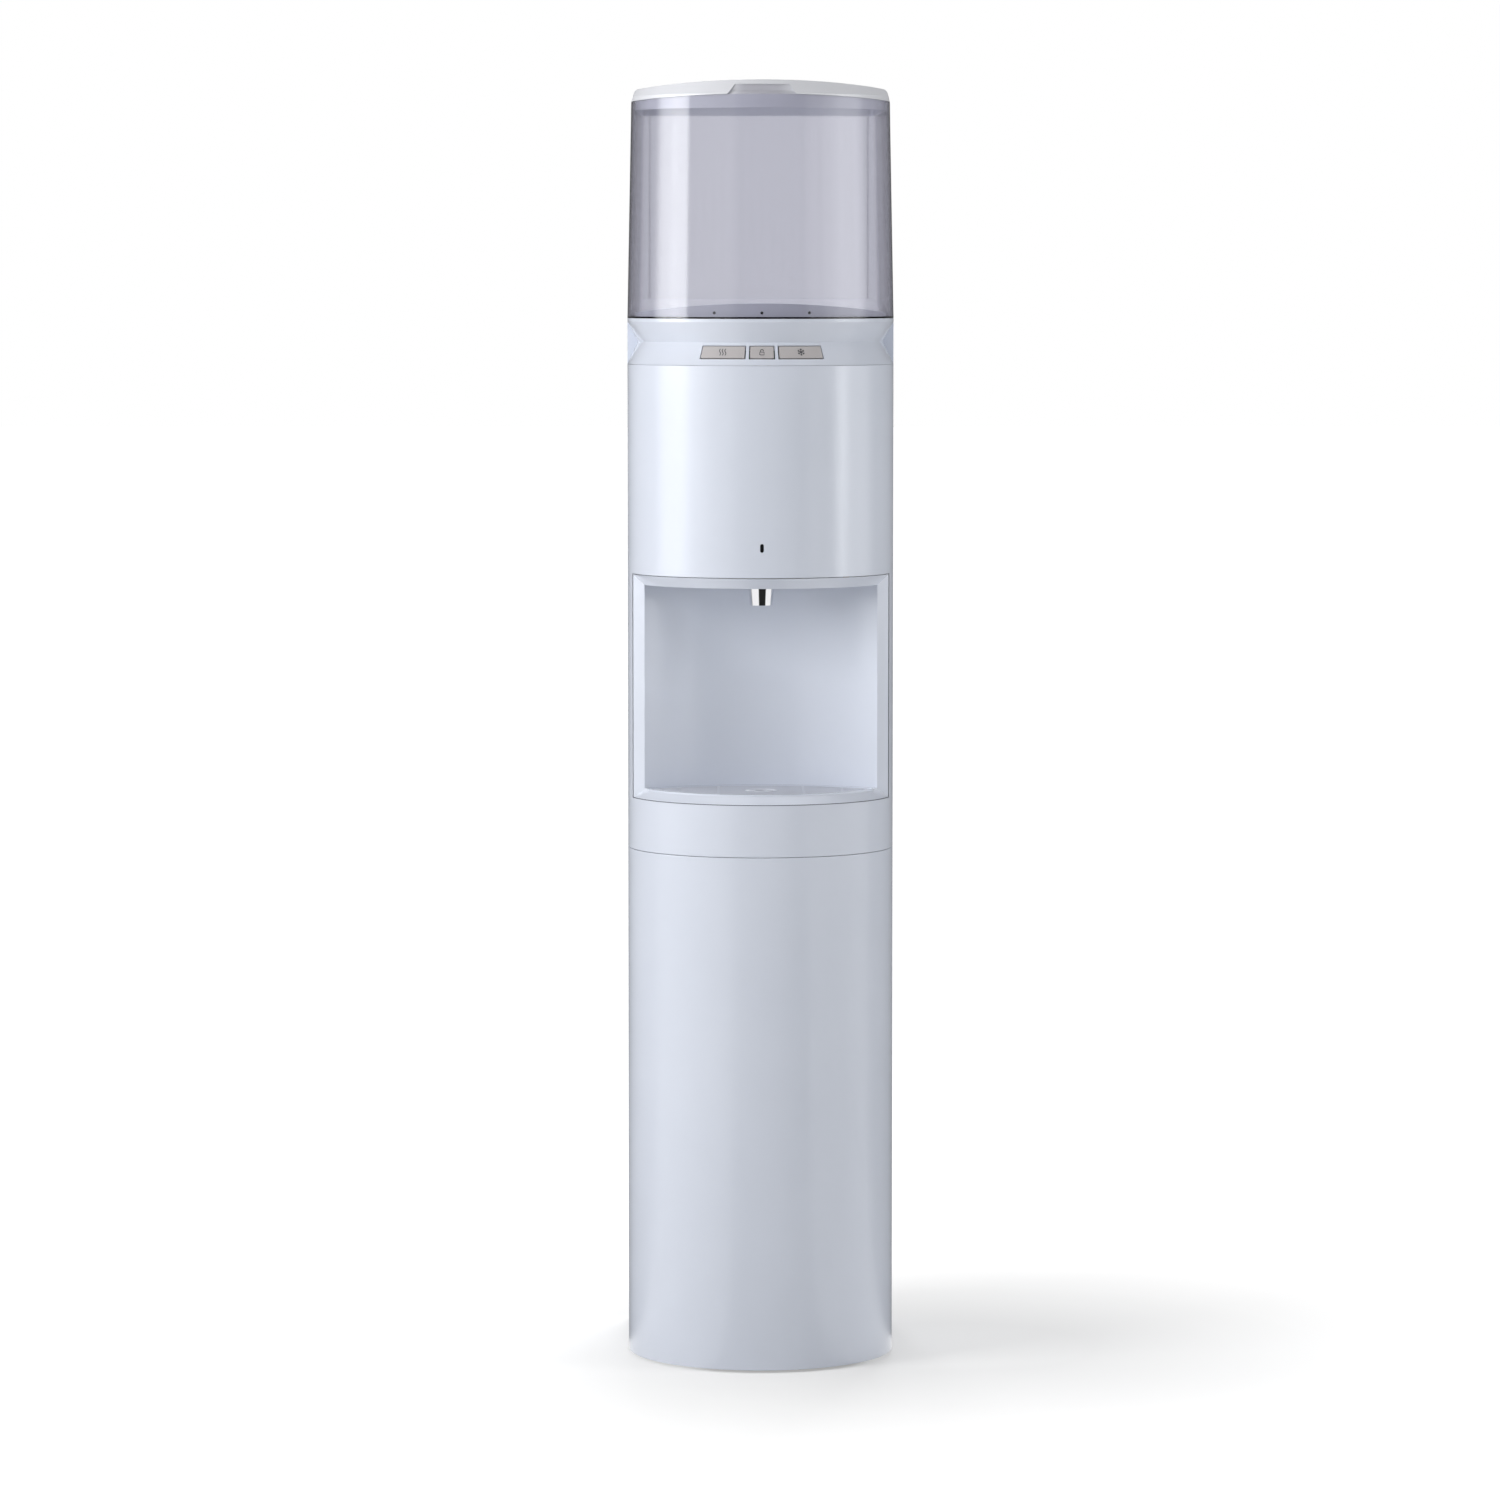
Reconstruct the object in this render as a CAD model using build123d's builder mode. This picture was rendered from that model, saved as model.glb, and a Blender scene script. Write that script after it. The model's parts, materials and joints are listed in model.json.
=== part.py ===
from build123d import *
import os
from math import atan2, cos, degrees, hypot, radians, sin, sqrt

# Floor-standing water dispenser. A bottle stands upside down on the deck under a clear cover, its water
# runs into a cold tank and on into a hot tank, and one spout in an alcove serves both.
# Millimetres. The origin is on the floor under the middle of the cabinet, +Z up, the front towards -Y.

# Overall plan: a half-round front, straight sides and a flat back
WIDTH = 290.0
DEPTH = 363.0
BACK_CORNER = 18.0

# Heights of the stacked sections, from the floor up
SKIRT_GAP = 3.0
LOWER_HEIGHT = 556.4
SILL_HEIGHT = 56.1
ALCOVE_HEIGHT = 244.5
PANEL_HEIGHT = 227.0
BUTTON_RISE = 24.5
NECK_RISE = 25.0
COVER_HEIGHT = 239.1
CAP_HEIGHT = 15.4

# Walls and clearances
WALL = 3.0
LINER = 2.5
SHEET = 1.5
SEAM = 0.5
FIT = 0.3
RUN = 0.8
EDGE = 0.6
PIPE_FIT = 0.5
PRESS_FIT = 0.05
CUT_OVER = 5.0

# Neck groove with the button slope
GROOVE_DEPTH = 12.0
NECK_RIM = 3.5

# Alcove: outer edge of the bezel on the casing, inner edge on a smaller cylinder
BEZEL_MARGIN = 5.5
BEZEL_SIDE = 13.0
BEZEL_SET = 10.0
REVEAL = 0.7
HEAD_DROP = 12.0
ALCOVE_DEPTH = 144.5
CEILING_WALL = 2.5
JAMB_BACK = 6.0

# Drip tray and its grille
LIP_RISE = 11.1
TRAY_DEPTH = 26.0
TRAY_WALL = 2.0
TRAY_RIM = 1.6
TRAY_TIP = 4.0
GRILLE_THICK = 3.0
GRILLE_SINK = 1.0
GRILLE_LEDGE = 3.0
GRILLE_BORDER = 4.0
SLAT_SLOTS = 9
SLOT_WIDTH = 3.4
SLOT_BARS = (-88.0, -46.0, 46.0, 88.0)
BAR_WIDTH = 3.0
HUB_RADIUS = 17.0
HUB_HOLE = 6.5
HUB_RISE = 0.7

# Spout
SPOUT_SET = 72.0
SPOUT_TOP_RADIUS = 14.3
SPOUT_END_RADIUS = 12.3
SPOUT_DROP = 20.6
SPOUT_BORE = 6.0

# Presence sensor window
SENSOR_RISE = 32.0
SENSOR_WIDTH = 3.4
SENSOR_HEIGHT = 8.8

# Buttons on the slope, placed by their middle angle and their width along the arc
BUTTON_START = 5.0
BUTTON_LENGTH = 13.6
BUTTON_SPACE = 6.0
SIDE_BUTTON_WIDTH = 47.8
MIDDLE_BUTTON_WIDTH = 25.0
BUTTON_PROUD = 0.5
BUTTON_GAP = 1.3
BUTTON_FLANGE = 1.4
FLANGE_WIDER = 2.2
BUTTON_TRAVEL = 1.5
SWITCH_HEIGHT = 3.4
SWITCH_SIZE = 6.0
BOARD_THICK = 1.6
BOARD_HALF_ANGLE = 34.0
POST_ANGLE = 3.0

# Bottle deck under the cover
DECK_INSET = 8.0
DECK_FLANGE = 2.5
DECK_VALLEY = 4.9
DECK_BLANK = 24.5
TROUGH_RADIUS = 1130.0
TROUGH_SHIFT = -11.7
INDICATOR_RISE = 6.5
INDICATOR_SPREAD = 50.5
INDICATOR_RADIUS = 1.6
RECEIVER_RADIUS = 60.0
RECEIVER_RIM = 3.0
WELL_RADIUS = 45.0
WELL_DEPTH = 26.0
PROBE_RADIUS = 9.5
PROBE_LENGTH = 36.0
PROBE_TIP = 9.0
PROBE_FLANGE = 20.0
PROBE_TAIL = 24.0
SEAL_WIDTH = 4.5
SEAL_HEIGHT = 2.6

# Clear cover and its cap
COVER_WALL = 3.0
COVER_DRAFT = 4.6
CROWN = 5.6
CAP_CROWN = 8.0
CAP_SLOPE = 6.6
CAP_LEAN = 4.0
CAP_CORNER = 5.0
CAP_WALL = 2.5
PLUG_HEIGHT = 9.0
PLUG_WALL = 2.0
GRIP_WIDTH = 82.0
GRIP_CEILING = 58.0
GRIP_SET = 8.0
GRIP_TOP = 4.8

# Base, feet and inner frame
FOOT_HEIGHT = 6.0
FOOT_RADIUS = 14.0
FOOT_INSET = 42.0
BASE_RIM = 18.0
UPRIGHT_LEG = 26.0
UPRIGHT_DEPTH = 24.0
UPRIGHT_GAP = 34.0
UPRIGHT_TOP = 14.0
MID_SHELF_DROP = 12.0
TANK_SHELF_RISE = 8.0
LEDGE_WIDTH = 6.0
LEDGE_HEIGHT = 2.5
RIB_HEIGHT = 6.0
RIB_THICK = 2.0
LOWER_RIB_ANGLES = (-50.0, 0.0, 50.0)
UPPER_RIB_ANGLES = (-65.0, 65.0)

# Rear wall: vents, service recess and screws
VENT_LENGTH = 70.0
VENT_HEIGHT = 5.0
VENT_PITCH = 14.0
VENT_SPREAD = 84.0
LOWER_VENT_ROWS = 12
UPPER_VENT_ROWS = 6
LOWER_VENT_RISE = 330.0
UPPER_VENT_DROP = 110.0
RECESS_WIDTH = 130.0
RECESS_HEIGHT = 56.0
RECESS_RISE = 62.0
RECESS_DEPTH = 24.0
RECESS_CORNER = 6.0
SERVICE_SPREAD = 44.0
DRAIN_RADIUS = 9.0
DRAIN_BORE = 4.0
DRAIN_LENGTH = 12.0
DRAIN_FLANGE = 14.0
DRAIN_CAP_RADIUS = 13.0
DRAIN_CAP_FLUTES = 12
FLUTE_RADIUS = 1.4
GLAND_RADIUS = 8.0
GLAND_FLANGE = 11.0
GLAND_LENGTH = 14.0
GLAND_BORE = 3.6
SCREW_HEAD = 4.0
SCREW_HEAD_HEIGHT = 1.6
SCREW_SHANK = 1.8
SCREW_LENGTH = 8.0
SCREW_MARGIN = 30.0

# Refrigeration
COMPRESSOR_RADIUS = 54.0
COMPRESSOR_HEIGHT = 132.0
COMPRESSOR_Y = 50.0
COMPRESSOR_DOME = 26.0
WELD_LIP = 3.0
GROMMET_HEIGHT = 12.0
GROMMET_RADIUS = 11.0
GROMMET_SPREAD_X = 120.0
GROMMET_SPREAD_Y = 80.0
MOUNT_PLATE = 3.0
STUB_LENGTH = 12.0
LINE_RADIUS = 4.0
SUCTION_RISE = 100.0
DISCHARGE_RISE = 80.0
SUCTION_Y = -14.0
CONDENSER_RADIUS = 2.5
CONDENSER_MARGIN = 39.0
CONDENSER_PITCH = 36.0
CONDENSER_PASSES = 11
CONDENSER_BOTTOM = 128.0
WIRE_RADIUS = 0.9
WIRE_COUNT = 9
WIRE_PITCH = 22.0
PORT_LENGTH = 20.0
DRIER_RADIUS = 8.0
DRIER_LENGTH = 60.0
LINE_BEND = 8.0
TUBE_SIDES = 6

# Cold side
COLD_HEIGHT = 160.0
TANK_WALL = 1.2
JACKET_WALL = 18.0
JACKET_SIDE_GAP = 6.5
JACKET_FRONT_GAP = 12.0
COIL_ROOM = 10.5
COIL_RADIUS = 4.0
COIL_GAP = 0.2
COIL_PITCH = 15.0
COIL_TURNS = 7
COIL_RISE = 28.0
LID_THICK = 6.0
LID_NECK = 16.0
OUTLET_RISE = 11.0
OUTLET_RADIUS = 5.0

# Hot side
HOT_RADIUS = 55.0
HOT_HEIGHT = 180.0
HOT_Y = 60.0
HOT_ROOM = 5.0
HOT_JACKET_WALL = 15.0
HOT_JACKET_FLOOR = 20.0
HEADROOM = 16.0
HEATER_HEIGHT = 40.0
HEATER_RISE = 26.0
HEATER_THICK = 2.5
THERMOSTAT_RADIUS = 8.0
THERMOSTAT_HEIGHT = 10.0
THERMOSTAT_SPREAD = 44.0
HOT_FEED_Y = 45.0
HOT_OUT_X = 30.0
HOT_RISER_Y = 20.0
HOSE_BEND = 12.5
HOSE_TURN_ANGLE = 62.0

# Drain hose: sideways run beside the compressor, then down to the recess
DRAIN_BEND = 20.0
DRAIN_RUN = (-108.0, 88.0)
DRAIN_FIRST_DROP = 70.0
DRAIN_SECOND_DROP = 130.0
DRAIN_FOOT_RISE = 70.0
DRAIN_TAIL = 36.0

# Valves and manifold
VALVE_SPREAD = 36.0
VALVE_SET = 36.0
VALVE_SIZE = 30.0
VALVE_BODY = 40.0
VALVE_COIL_RADIUS = 14.0
VALVE_COIL_HEIGHT = 32.0
MANIFOLD_WIDTH = 92.0
MANIFOLD_CORNER = 8.0

# Control electronics
BOX_WIDTH = 150.0
BOX_HEIGHT = 110.0
BOX_DEPTH = 26.0
BOX_RISE = 140.0
BOX_WALL = 2.0
BOARD_STANDOFF = 5.0
STANDOFF_INSET = 20.0
CHIP_HEIGHT = 9.0

# Worked-out places
HALF = WIDTH / 2
FRONT_Y = -DEPTH / 2
BACK_Y = DEPTH / 2
ARC_Y = FRONT_Y + HALF
INNER_RADIUS = HALF - WALL
BEZEL_HALF = HALF - BEZEL_MARGIN
WINDOW_HALF = BEZEL_HALF - BEZEL_SIDE
CONDENSER_HALF = HALF - CONDENSER_MARGIN
Z_SEAM = SKIRT_GAP + LOWER_HEIGHT
Z_SILL = Z_SEAM + SILL_HEIGHT
Z_HEAD = Z_SILL + ALCOVE_HEIGHT
Z_PANEL = Z_HEAD + PANEL_HEIGHT
Z_WAIST = Z_PANEL + BUTTON_RISE
Z_NECK = Z_WAIST + NECK_RISE
Z_COVER = Z_NECK + COVER_HEIGHT
Z_TOP = Z_COVER + CAP_HEIGHT
Z_BASE = FOOT_HEIGHT + SHEET
Z_MID_SHELF = Z_SEAM - MID_SHELF_DROP
Z_TANK_SHELF = Z_HEAD + TANK_SHELF_RISE
Z_CEILING = Z_HEAD - HEAD_DROP
Z_RIM = Z_SILL + LIP_RISE
WINDOW_RADIUS = HALF - BEZEL_SET
AXIS = Axis((0, ARC_Y, 0), (0, 0, 1))
BACK_PLANE = Plane(origin=(0, BACK_Y, 0), x_dir=(1, 0, 0), z_dir=(0, -1, 0))

# The alcove's back wall is an arc through both window edges and the deepest point
JAMB_OUT_Y = ARC_Y - sqrt(HALF**2 - BEZEL_HALF**2)
JAMB_IN_Y = ARC_Y - sqrt(WINDOW_RADIUS**2 - WINDOW_HALF**2)
ALCOVE_BACK_Y = FRONT_Y + ALCOVE_DEPTH
BACK_SAG = ALCOVE_BACK_Y - JAMB_IN_Y
BACK_RADIUS = (WINDOW_HALF**2 + BACK_SAG**2) / (2 * BACK_SAG)
BACK_CENTRE_Y = ALCOVE_BACK_Y - BACK_RADIUS

# Each worked-out point of the neck's folded wall is a radius from the front axis and a height
SLOPE_ANGLE = atan2(GROOVE_DEPTH, BUTTON_RISE)
WAIST_RADIUS = HALF - GROOVE_DEPTH


def radial_plane(angle):
    """Upright plane through the front axis: local x is the radius, local y the height."""
    turn = radians(angle)
    return Plane(origin=(0, ARC_Y, 0), x_dir=(sin(turn), -cos(turn), 0), z_dir=(-cos(turn), -sin(turn), 0))


def spoke_plane(angle, height):
    """Plane on the front axis whose normal points outward at the angle and height."""
    turn = radians(angle)
    return Plane(origin=(0, ARC_Y, height), z_dir=(sin(turn), -cos(turn), 0))


def slope_point(along, out):
    """A point of the button slope: distance down from the waist, and height off its face."""
    radius = WAIST_RADIUS + along * sin(SLOPE_ANGLE) + out * cos(SLOPE_ANGLE)
    height = Z_WAIST - along * cos(SLOPE_ANGLE) + out * sin(SLOPE_ANGLE)
    return (radius, height)


def slope_block(top, bottom, inner, outer):
    """Four corners of a block lying on the button slope."""
    corners = [(top, inner), (bottom, inner), (bottom, outer), (top, outer)]
    return [slope_point(along, out) for along, out in corners]


def draw_plan(inset, mode=Mode.ADD):
    """The cabinet's plan, drawn in by the inset."""
    side = HALF - inset
    back = BACK_Y - inset
    corner = max(BACK_CORNER - inset, EDGE)
    turn = corner * (1 - cos(radians(45)))
    with BuildLine() as outline:
        Line((side, ARC_Y), (side, back - corner))
        ThreePointArc((side, back - corner), (side - turn, back - turn), (side - corner, back))
        Line((side - corner, back), (corner - side, back))
        ThreePointArc((corner - side, back), (turn - side, back - turn), (-side, back - corner))
        Line((-side, back - corner), (-side, ARC_Y))
        ThreePointArc((-side, ARC_Y), (0, ARC_Y - side), (side, ARC_Y))
    make_face(outline.edges(), mode=mode)


def keep_front(limit=ARC_Y):
    """Keep only what lies in front of the given depth."""
    with Locations((0, limit)):
        Rectangle(2 * WIDTH, 2 * DEPTH, align=(Align.CENTER, Align.MAX), mode=Mode.INTERSECT)


def keep_back(limit=ARC_Y):
    """Keep only what lies behind the given depth."""
    with Locations((0, limit)):
        Rectangle(2 * WIDTH, 2 * DEPTH, align=(Align.CENTER, Align.MIN), mode=Mode.INTERSECT)


def draw_lens(front_radius, back_clearance, half_width):
    """The alcove floor's outline: the front arc met by an arc along the back wall."""
    with Locations((0, ARC_Y)):
        Circle(front_radius)
    with Locations((0, BACK_CENTRE_Y)):
        Circle(BACK_RADIUS - back_clearance, mode=Mode.INTERSECT)
    with Locations((0, FRONT_Y)):
        Rectangle(2 * half_width, 2 * DEPTH, mode=Mode.INTERSECT)


def draw_behind_jambs(clearance):
    """Both plan areas at and behind the bezel's side faces."""
    run = BEZEL_HALF - WINDOW_HALF
    rise = JAMB_OUT_Y - JAMB_IN_Y
    forward = clearance * hypot(run, rise) / run
    inner = (WINDOW_HALF - clearance, JAMB_IN_Y - forward - clearance * rise / run)
    outer = (WINDOW_HALF + WIDTH, JAMB_IN_Y - forward + WIDTH * rise / run)
    for side in (1, -1):
        Polygon(
            (side * inner[0], inner[1]),
            (side * outer[0], outer[1]),
            (side * inner[0], outer[1]),
            align=None,
        )


def draw_uprights(grow):
    """Both angle-section uprights, grown by a clearance."""
    back = BACK_Y - WALL - FIT
    outer = HALF - UPRIGHT_GAP + UPRIGHT_LEG / 2
    for side in (1, -1):
        Polygon(
            (side * (outer - UPRIGHT_LEG - grow), back + grow),
            (side * (outer + grow), back + grow),
            (side * (outer + grow), back - UPRIGHT_DEPTH - grow),
            (side * (outer - SHEET - grow), back - UPRIGHT_DEPTH - grow),
            (side * (outer - SHEET - grow), back - SHEET - grow),
            (side * (outer - UPRIGHT_LEG - grow), back - SHEET - grow),
            align=None,
        )


def draw_crown(bottom, top, mode=Mode.ADD):
    """Front view of everything between a level bottom and a crowned top."""
    with BuildLine() as outline:
        Line((-HALF, top - CROWN), (-HALF, bottom))
        Line((-HALF, bottom), (HALF, bottom))
        Line((HALF, bottom), (HALF, top - CROWN))
        ThreePointArc((HALF, top - CROWN), (0, top), (-HALF, top - CROWN))
    make_face(outline.edges(), mode=mode)


def draw_cap_front(inset):
    """Front view of the cap, drawn in by an inset: leaning ends, round corners and a crowned top."""
    foot = HALF - COVER_DRAFT - inset
    end = foot - CAP_LEAN
    shoulder = Z_TOP - CAP_CROWN - inset
    with BuildLine() as outline:
        Line((-end, shoulder), (-foot, Z_COVER - CROWN))
        Line((-foot, Z_COVER - CROWN), (-foot, 0))
        Line((-foot, 0), (foot, 0))
        Line((foot, 0), (foot, Z_COVER - CROWN))
        Line((foot, Z_COVER - CROWN), (end, shoulder))
        ThreePointArc((end, shoulder), (0, Z_TOP - inset), (-end, shoulder))
        fillet(outline.vertices().group_by(Axis.Y)[-1], CAP_CORNER)
    make_face(outline.edges())


def sweep_tube(points, bend, radius):
    """A slim tube, drawn with flat sides, along straight runs joined by tangent bends."""
    with BuildLine() as route:
        FilletPolyline(*points, radius=bend)
    path = route.wires()[0]
    with BuildSketch(Plane(origin=path @ 0, z_dir=path % 0)) as section:
        RegularPolygon(radius, TUBE_SIDES)
    sweep(sections=section.sketch, path=path)


def inner_corner(before, corner, after):
    """The matching corner on the inside of a folded wall."""
    first = Vector(*corner) - Vector(*before)
    second = Vector(*after) - Vector(*corner)
    first_in = Vector(first.Y, -first.X).normalized()
    second_in = Vector(second.Y, -second.X).normalized()
    half_way = (first_in + second_in).normalized()
    reach = WALL / half_way.dot(first_in)
    return (corner[0] + half_way.X * reach, corner[1] + half_way.Y * reach)


# Rubber feet
with BuildPart() as rubber_feet:
    with BuildSketch():
        with Locations((0, ARC_Y)):
            with PolarLocations(HALF - FOOT_INSET, 2, start_angle=-135, angular_range=90, endpoint=True):
                Circle(FOOT_RADIUS)
        with Locations((0, BACK_Y - FOOT_INSET)):
            with GridLocations(WIDTH - 2 * FOOT_INSET, 0, 2, 1):
                Circle(FOOT_RADIUS)
    extrude(amount=FOOT_HEIGHT)
    chamfer(rubber_feet.edges().group_by(Axis.Z)[0], EDGE)
rubber_feet.part.label = "rubber_feet"

# Base pan: a sheet floor with an upturned rim
with BuildPart() as base_pan:
    with BuildSketch(Plane.XY.offset(FOOT_HEIGHT)):
        draw_plan(WALL + FIT)
    extrude(amount=BASE_RIM)
    with BuildSketch(Plane.XY.offset(Z_BASE)):
        draw_plan(WALL + FIT + SHEET)
    extrude(amount=BASE_RIM, mode=Mode.SUBTRACT)
    with BuildSketch(Plane.XY.offset(Z_BASE)):
        draw_uprights(FIT)
    extrude(amount=BASE_RIM, mode=Mode.SUBTRACT)
    with BuildSketch(Plane.XY.offset(FOOT_HEIGHT)):
        with Locations((0, ARC_Y)):
            with GridLocations(0, VENT_PITCH, 1, UPPER_VENT_ROWS):
                SlotOverall(VENT_LENGTH, VENT_HEIGHT)
    extrude(amount=SHEET, mode=Mode.SUBTRACT)
base_pan.part.label = "base_pan"

# Screw places on the rear wall, on the middle of each upright's leg
SCREW_X = HALF - UPRIGHT_GAP
LOWER_SCREWS = (SKIRT_GAP + SCREW_MARGIN, (SKIRT_GAP + Z_SEAM) / 2, Z_SEAM - SCREW_MARGIN)
UPPER_SCREWS = (Z_SEAM + SCREW_MARGIN, (Z_SEAM + Z_PANEL) / 2, Z_PANEL - SCREW_MARGIN)


def drill_rear_wall(levels):
    """Screw holes with sunk seats in the rear wall."""
    places = [(side * SCREW_X, level) for level in levels for side in (1, -1)]
    with Locations(BACK_PLANE):
        with Locations(*[(x, z, 0) for x, z in places]):
            Cylinder(SCREW_HEAD + FIT, 2 * SCREW_HEAD_HEIGHT, mode=Mode.SUBTRACT)
            Cylinder(SCREW_SHANK + FIT, 4 * WALL, mode=Mode.SUBTRACT)


def cut_vents(centre, rows):
    """Two columns of vent slots through the rear wall."""
    with BuildSketch(BACK_PLANE) as slots:
        with Locations((0, centre)):
            with GridLocations(VENT_SPREAD, VENT_PITCH, 2, rows):
                SlotOverall(VENT_LENGTH, VENT_HEIGHT)
    extrude(slots.sketch, amount=2 * WALL, mode=Mode.SUBTRACT)


# Lower casing, front half: a half-round shell with stiffening ribs inside
with BuildPart() as lower_front_casing:
    with BuildSketch(Plane.XY.offset(SKIRT_GAP)):
        draw_plan(0)
        draw_plan(WALL, mode=Mode.SUBTRACT)
        keep_front()
    extrude(amount=LOWER_HEIGHT - SEAM / 2)
    outer_rims = lower_front_casing.edges().filter_by(GeomType.CIRCLE)
    fillet(outer_rims.filter_by(lambda edge: edge.radius > INNER_RADIUS + WALL / 2), EDGE)
    for rib_angle in LOWER_RIB_ANGLES:
        with BuildSketch(radial_plane(rib_angle)):
            with Locations((INNER_RADIUS, (FOOT_HEIGHT + BASE_RIM + Z_MID_SHELF) / 2)):
                Rectangle(2 * RIB_HEIGHT, Z_MID_SHELF - FOOT_HEIGHT - 2 * BASE_RIM)
                with Locations((WALL / 2, 0)):
                    Rectangle(2 * RIB_HEIGHT, 2 * Z_SEAM, align=(Align.MIN, Align.CENTER), mode=Mode.SUBTRACT)
        extrude(amount=RIB_THICK / 2, both=True)
lower_front_casing.part.label = "lower_front_casing"

# Lower casing, rear half, with vents and a recess for the drain and the mains inlet
with BuildPart() as lower_rear_casing:
    with BuildSketch(Plane.XY.offset(SKIRT_GAP)):
        draw_plan(0)
        draw_plan(WALL, mode=Mode.SUBTRACT)
        keep_back(ARC_Y + SEAM)
    extrude(amount=LOWER_HEIGHT - SEAM / 2)
    cut_vents(LOWER_VENT_RISE, LOWER_VENT_ROWS)
    drill_rear_wall(LOWER_SCREWS)
    with BuildSketch(BACK_PLANE):
        with Locations((0, RECESS_RISE)):
            RectangleRounded(RECESS_WIDTH, RECESS_HEIGHT, RECESS_CORNER)
    extrude(amount=RECESS_DEPTH + LINER)
    with BuildSketch(BACK_PLANE):
        with Locations((0, RECESS_RISE)):
            RectangleRounded(RECESS_WIDTH - 2 * LINER, RECESS_HEIGHT - 2 * LINER, RECESS_CORNER - LINER)
    extrude(amount=RECESS_DEPTH, mode=Mode.SUBTRACT)
    with BuildSketch(BACK_PLANE):
        with Locations((-SERVICE_SPREAD, RECESS_RISE)):
            Circle(DRAIN_RADIUS + FIT)
        with Locations((SERVICE_SPREAD, RECESS_RISE)):
            Circle(GLAND_RADIUS + FIT)
    extrude(amount=RECESS_DEPTH + 2 * LINER, mode=Mode.SUBTRACT)
lower_rear_casing.part.label = "lower_rear_casing"

# Upper casing, front half, with the alcove window and the sensor slot
with BuildPart() as upper_front_casing:
    with BuildSketch(Plane.XY.offset(Z_SEAM + SEAM / 2)):
        draw_plan(0)
        draw_plan(WALL, mode=Mode.SUBTRACT)
        keep_front()
    extrude(amount=Z_PANEL - Z_SEAM - SEAM)
    outer_rims = upper_front_casing.edges().filter_by(GeomType.CIRCLE)
    fillet(outer_rims.filter_by(lambda edge: edge.radius > INNER_RADIUS + WALL / 2), EDGE)
    with BuildSketch(Plane.XZ):
        with Locations((0, Z_SILL)):
            Rectangle(2 * BEZEL_HALF, ALCOVE_HEIGHT, align=(Align.CENTER, Align.MIN))
    extrude(amount=DEPTH, mode=Mode.SUBTRACT)
    with BuildSketch(Plane.XZ):
        with Locations((0, Z_HEAD + SENSOR_RISE)):
            SlotOverall(SENSOR_HEIGHT + 2 * FIT, SENSOR_WIDTH + 2 * FIT, rotation=90)
    extrude(amount=DEPTH, mode=Mode.SUBTRACT)
    for rib_angle in UPPER_RIB_ANGLES:
        with BuildSketch(radial_plane(rib_angle)):
            with Locations((INNER_RADIUS, (Z_TANK_SHELF + Z_PANEL) / 2)):
                Rectangle(2 * RIB_HEIGHT, Z_PANEL - Z_TANK_SHELF - 2 * BASE_RIM)
                with Locations((WALL / 2, 0)):
                    Rectangle(
                        2 * RIB_HEIGHT, 2 * Z_PANEL, align=(Align.MIN, Align.CENTER), mode=Mode.SUBTRACT
                    )
        extrude(amount=RIB_THICK / 2, both=True)
upper_front_casing.part.label = "upper_front_casing"

# Upper casing, rear half: it carries the bottle deck on a ledge and closes both ends of the neck groove
Z_RING = Z_NECK - NECK_RIM
with BuildPart() as upper_rear_casing:
    with BuildSketch(Plane.XY.offset(Z_SEAM + SEAM / 2)):
        draw_plan(0)
        draw_plan(WALL, mode=Mode.SUBTRACT)
        keep_back(ARC_Y + SEAM)
    extrude(amount=Z_NECK - Z_SEAM - SEAM / 2)
    with BuildSketch(Plane.XY.offset(Z_NECK - DECK_FLANGE - FIT)):
        draw_plan(WALL / 2)
        draw_plan(WALL + LEDGE_WIDTH, mode=Mode.SUBTRACT)
        keep_back(ARC_Y + SEAM)
    extrude(amount=-LEDGE_HEIGHT)
    with BuildSketch(Plane.XZ.offset(-ARC_Y - SEAM)):
        for side in (1, -1):
            with Locations((side * HALF, Z_PANEL - WALL)):
                Rectangle(
                    GROOVE_DEPTH + 2 * WALL,
                    Z_RING - Z_PANEL + WALL,
                    align=(Align.MAX if side > 0 else Align.MIN, Align.MIN),
                )
    extrude(amount=-WALL)
    cut_vents(Z_PANEL - UPPER_VENT_DROP, UPPER_VENT_ROWS)
    drill_rear_wall(UPPER_SCREWS)
upper_rear_casing.part.label = "upper_rear_casing"

# Two angle-section uprights from the base pan to the top of the casing
UPRIGHT_HEIGHT = Z_PANEL - UPRIGHT_TOP - Z_BASE
with BuildPart() as frame_uprights:
    with BuildSketch(Plane.XY.offset(Z_BASE)):
        draw_uprights(0)
    extrude(amount=UPRIGHT_HEIGHT)
    with Locations(BACK_PLANE):
        with Locations(*[(side * SCREW_X, z, 0) for z in LOWER_SCREWS + UPPER_SCREWS for side in (1, -1)]):
            Cylinder(SCREW_SHANK + FIT, 8 * WALL, mode=Mode.SUBTRACT)
frame_uprights.part.label = "frame_uprights"

# Screws that hold the rear casings to the uprights
with BuildPart() as casing_screws:
    with Locations(BACK_PLANE):
        with Locations(*[(side * SCREW_X, z, 0) for z in LOWER_SCREWS + UPPER_SCREWS for side in (1, -1)]):
            Cylinder(SCREW_HEAD, SCREW_HEAD_HEIGHT, align=(Align.CENTER, Align.CENTER, Align.MIN))
            Cylinder(SCREW_SHANK, SCREW_LENGTH, align=(Align.CENTER, Align.CENTER, Align.MIN))
casing_screws.part.label = "casing_screws"

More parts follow.
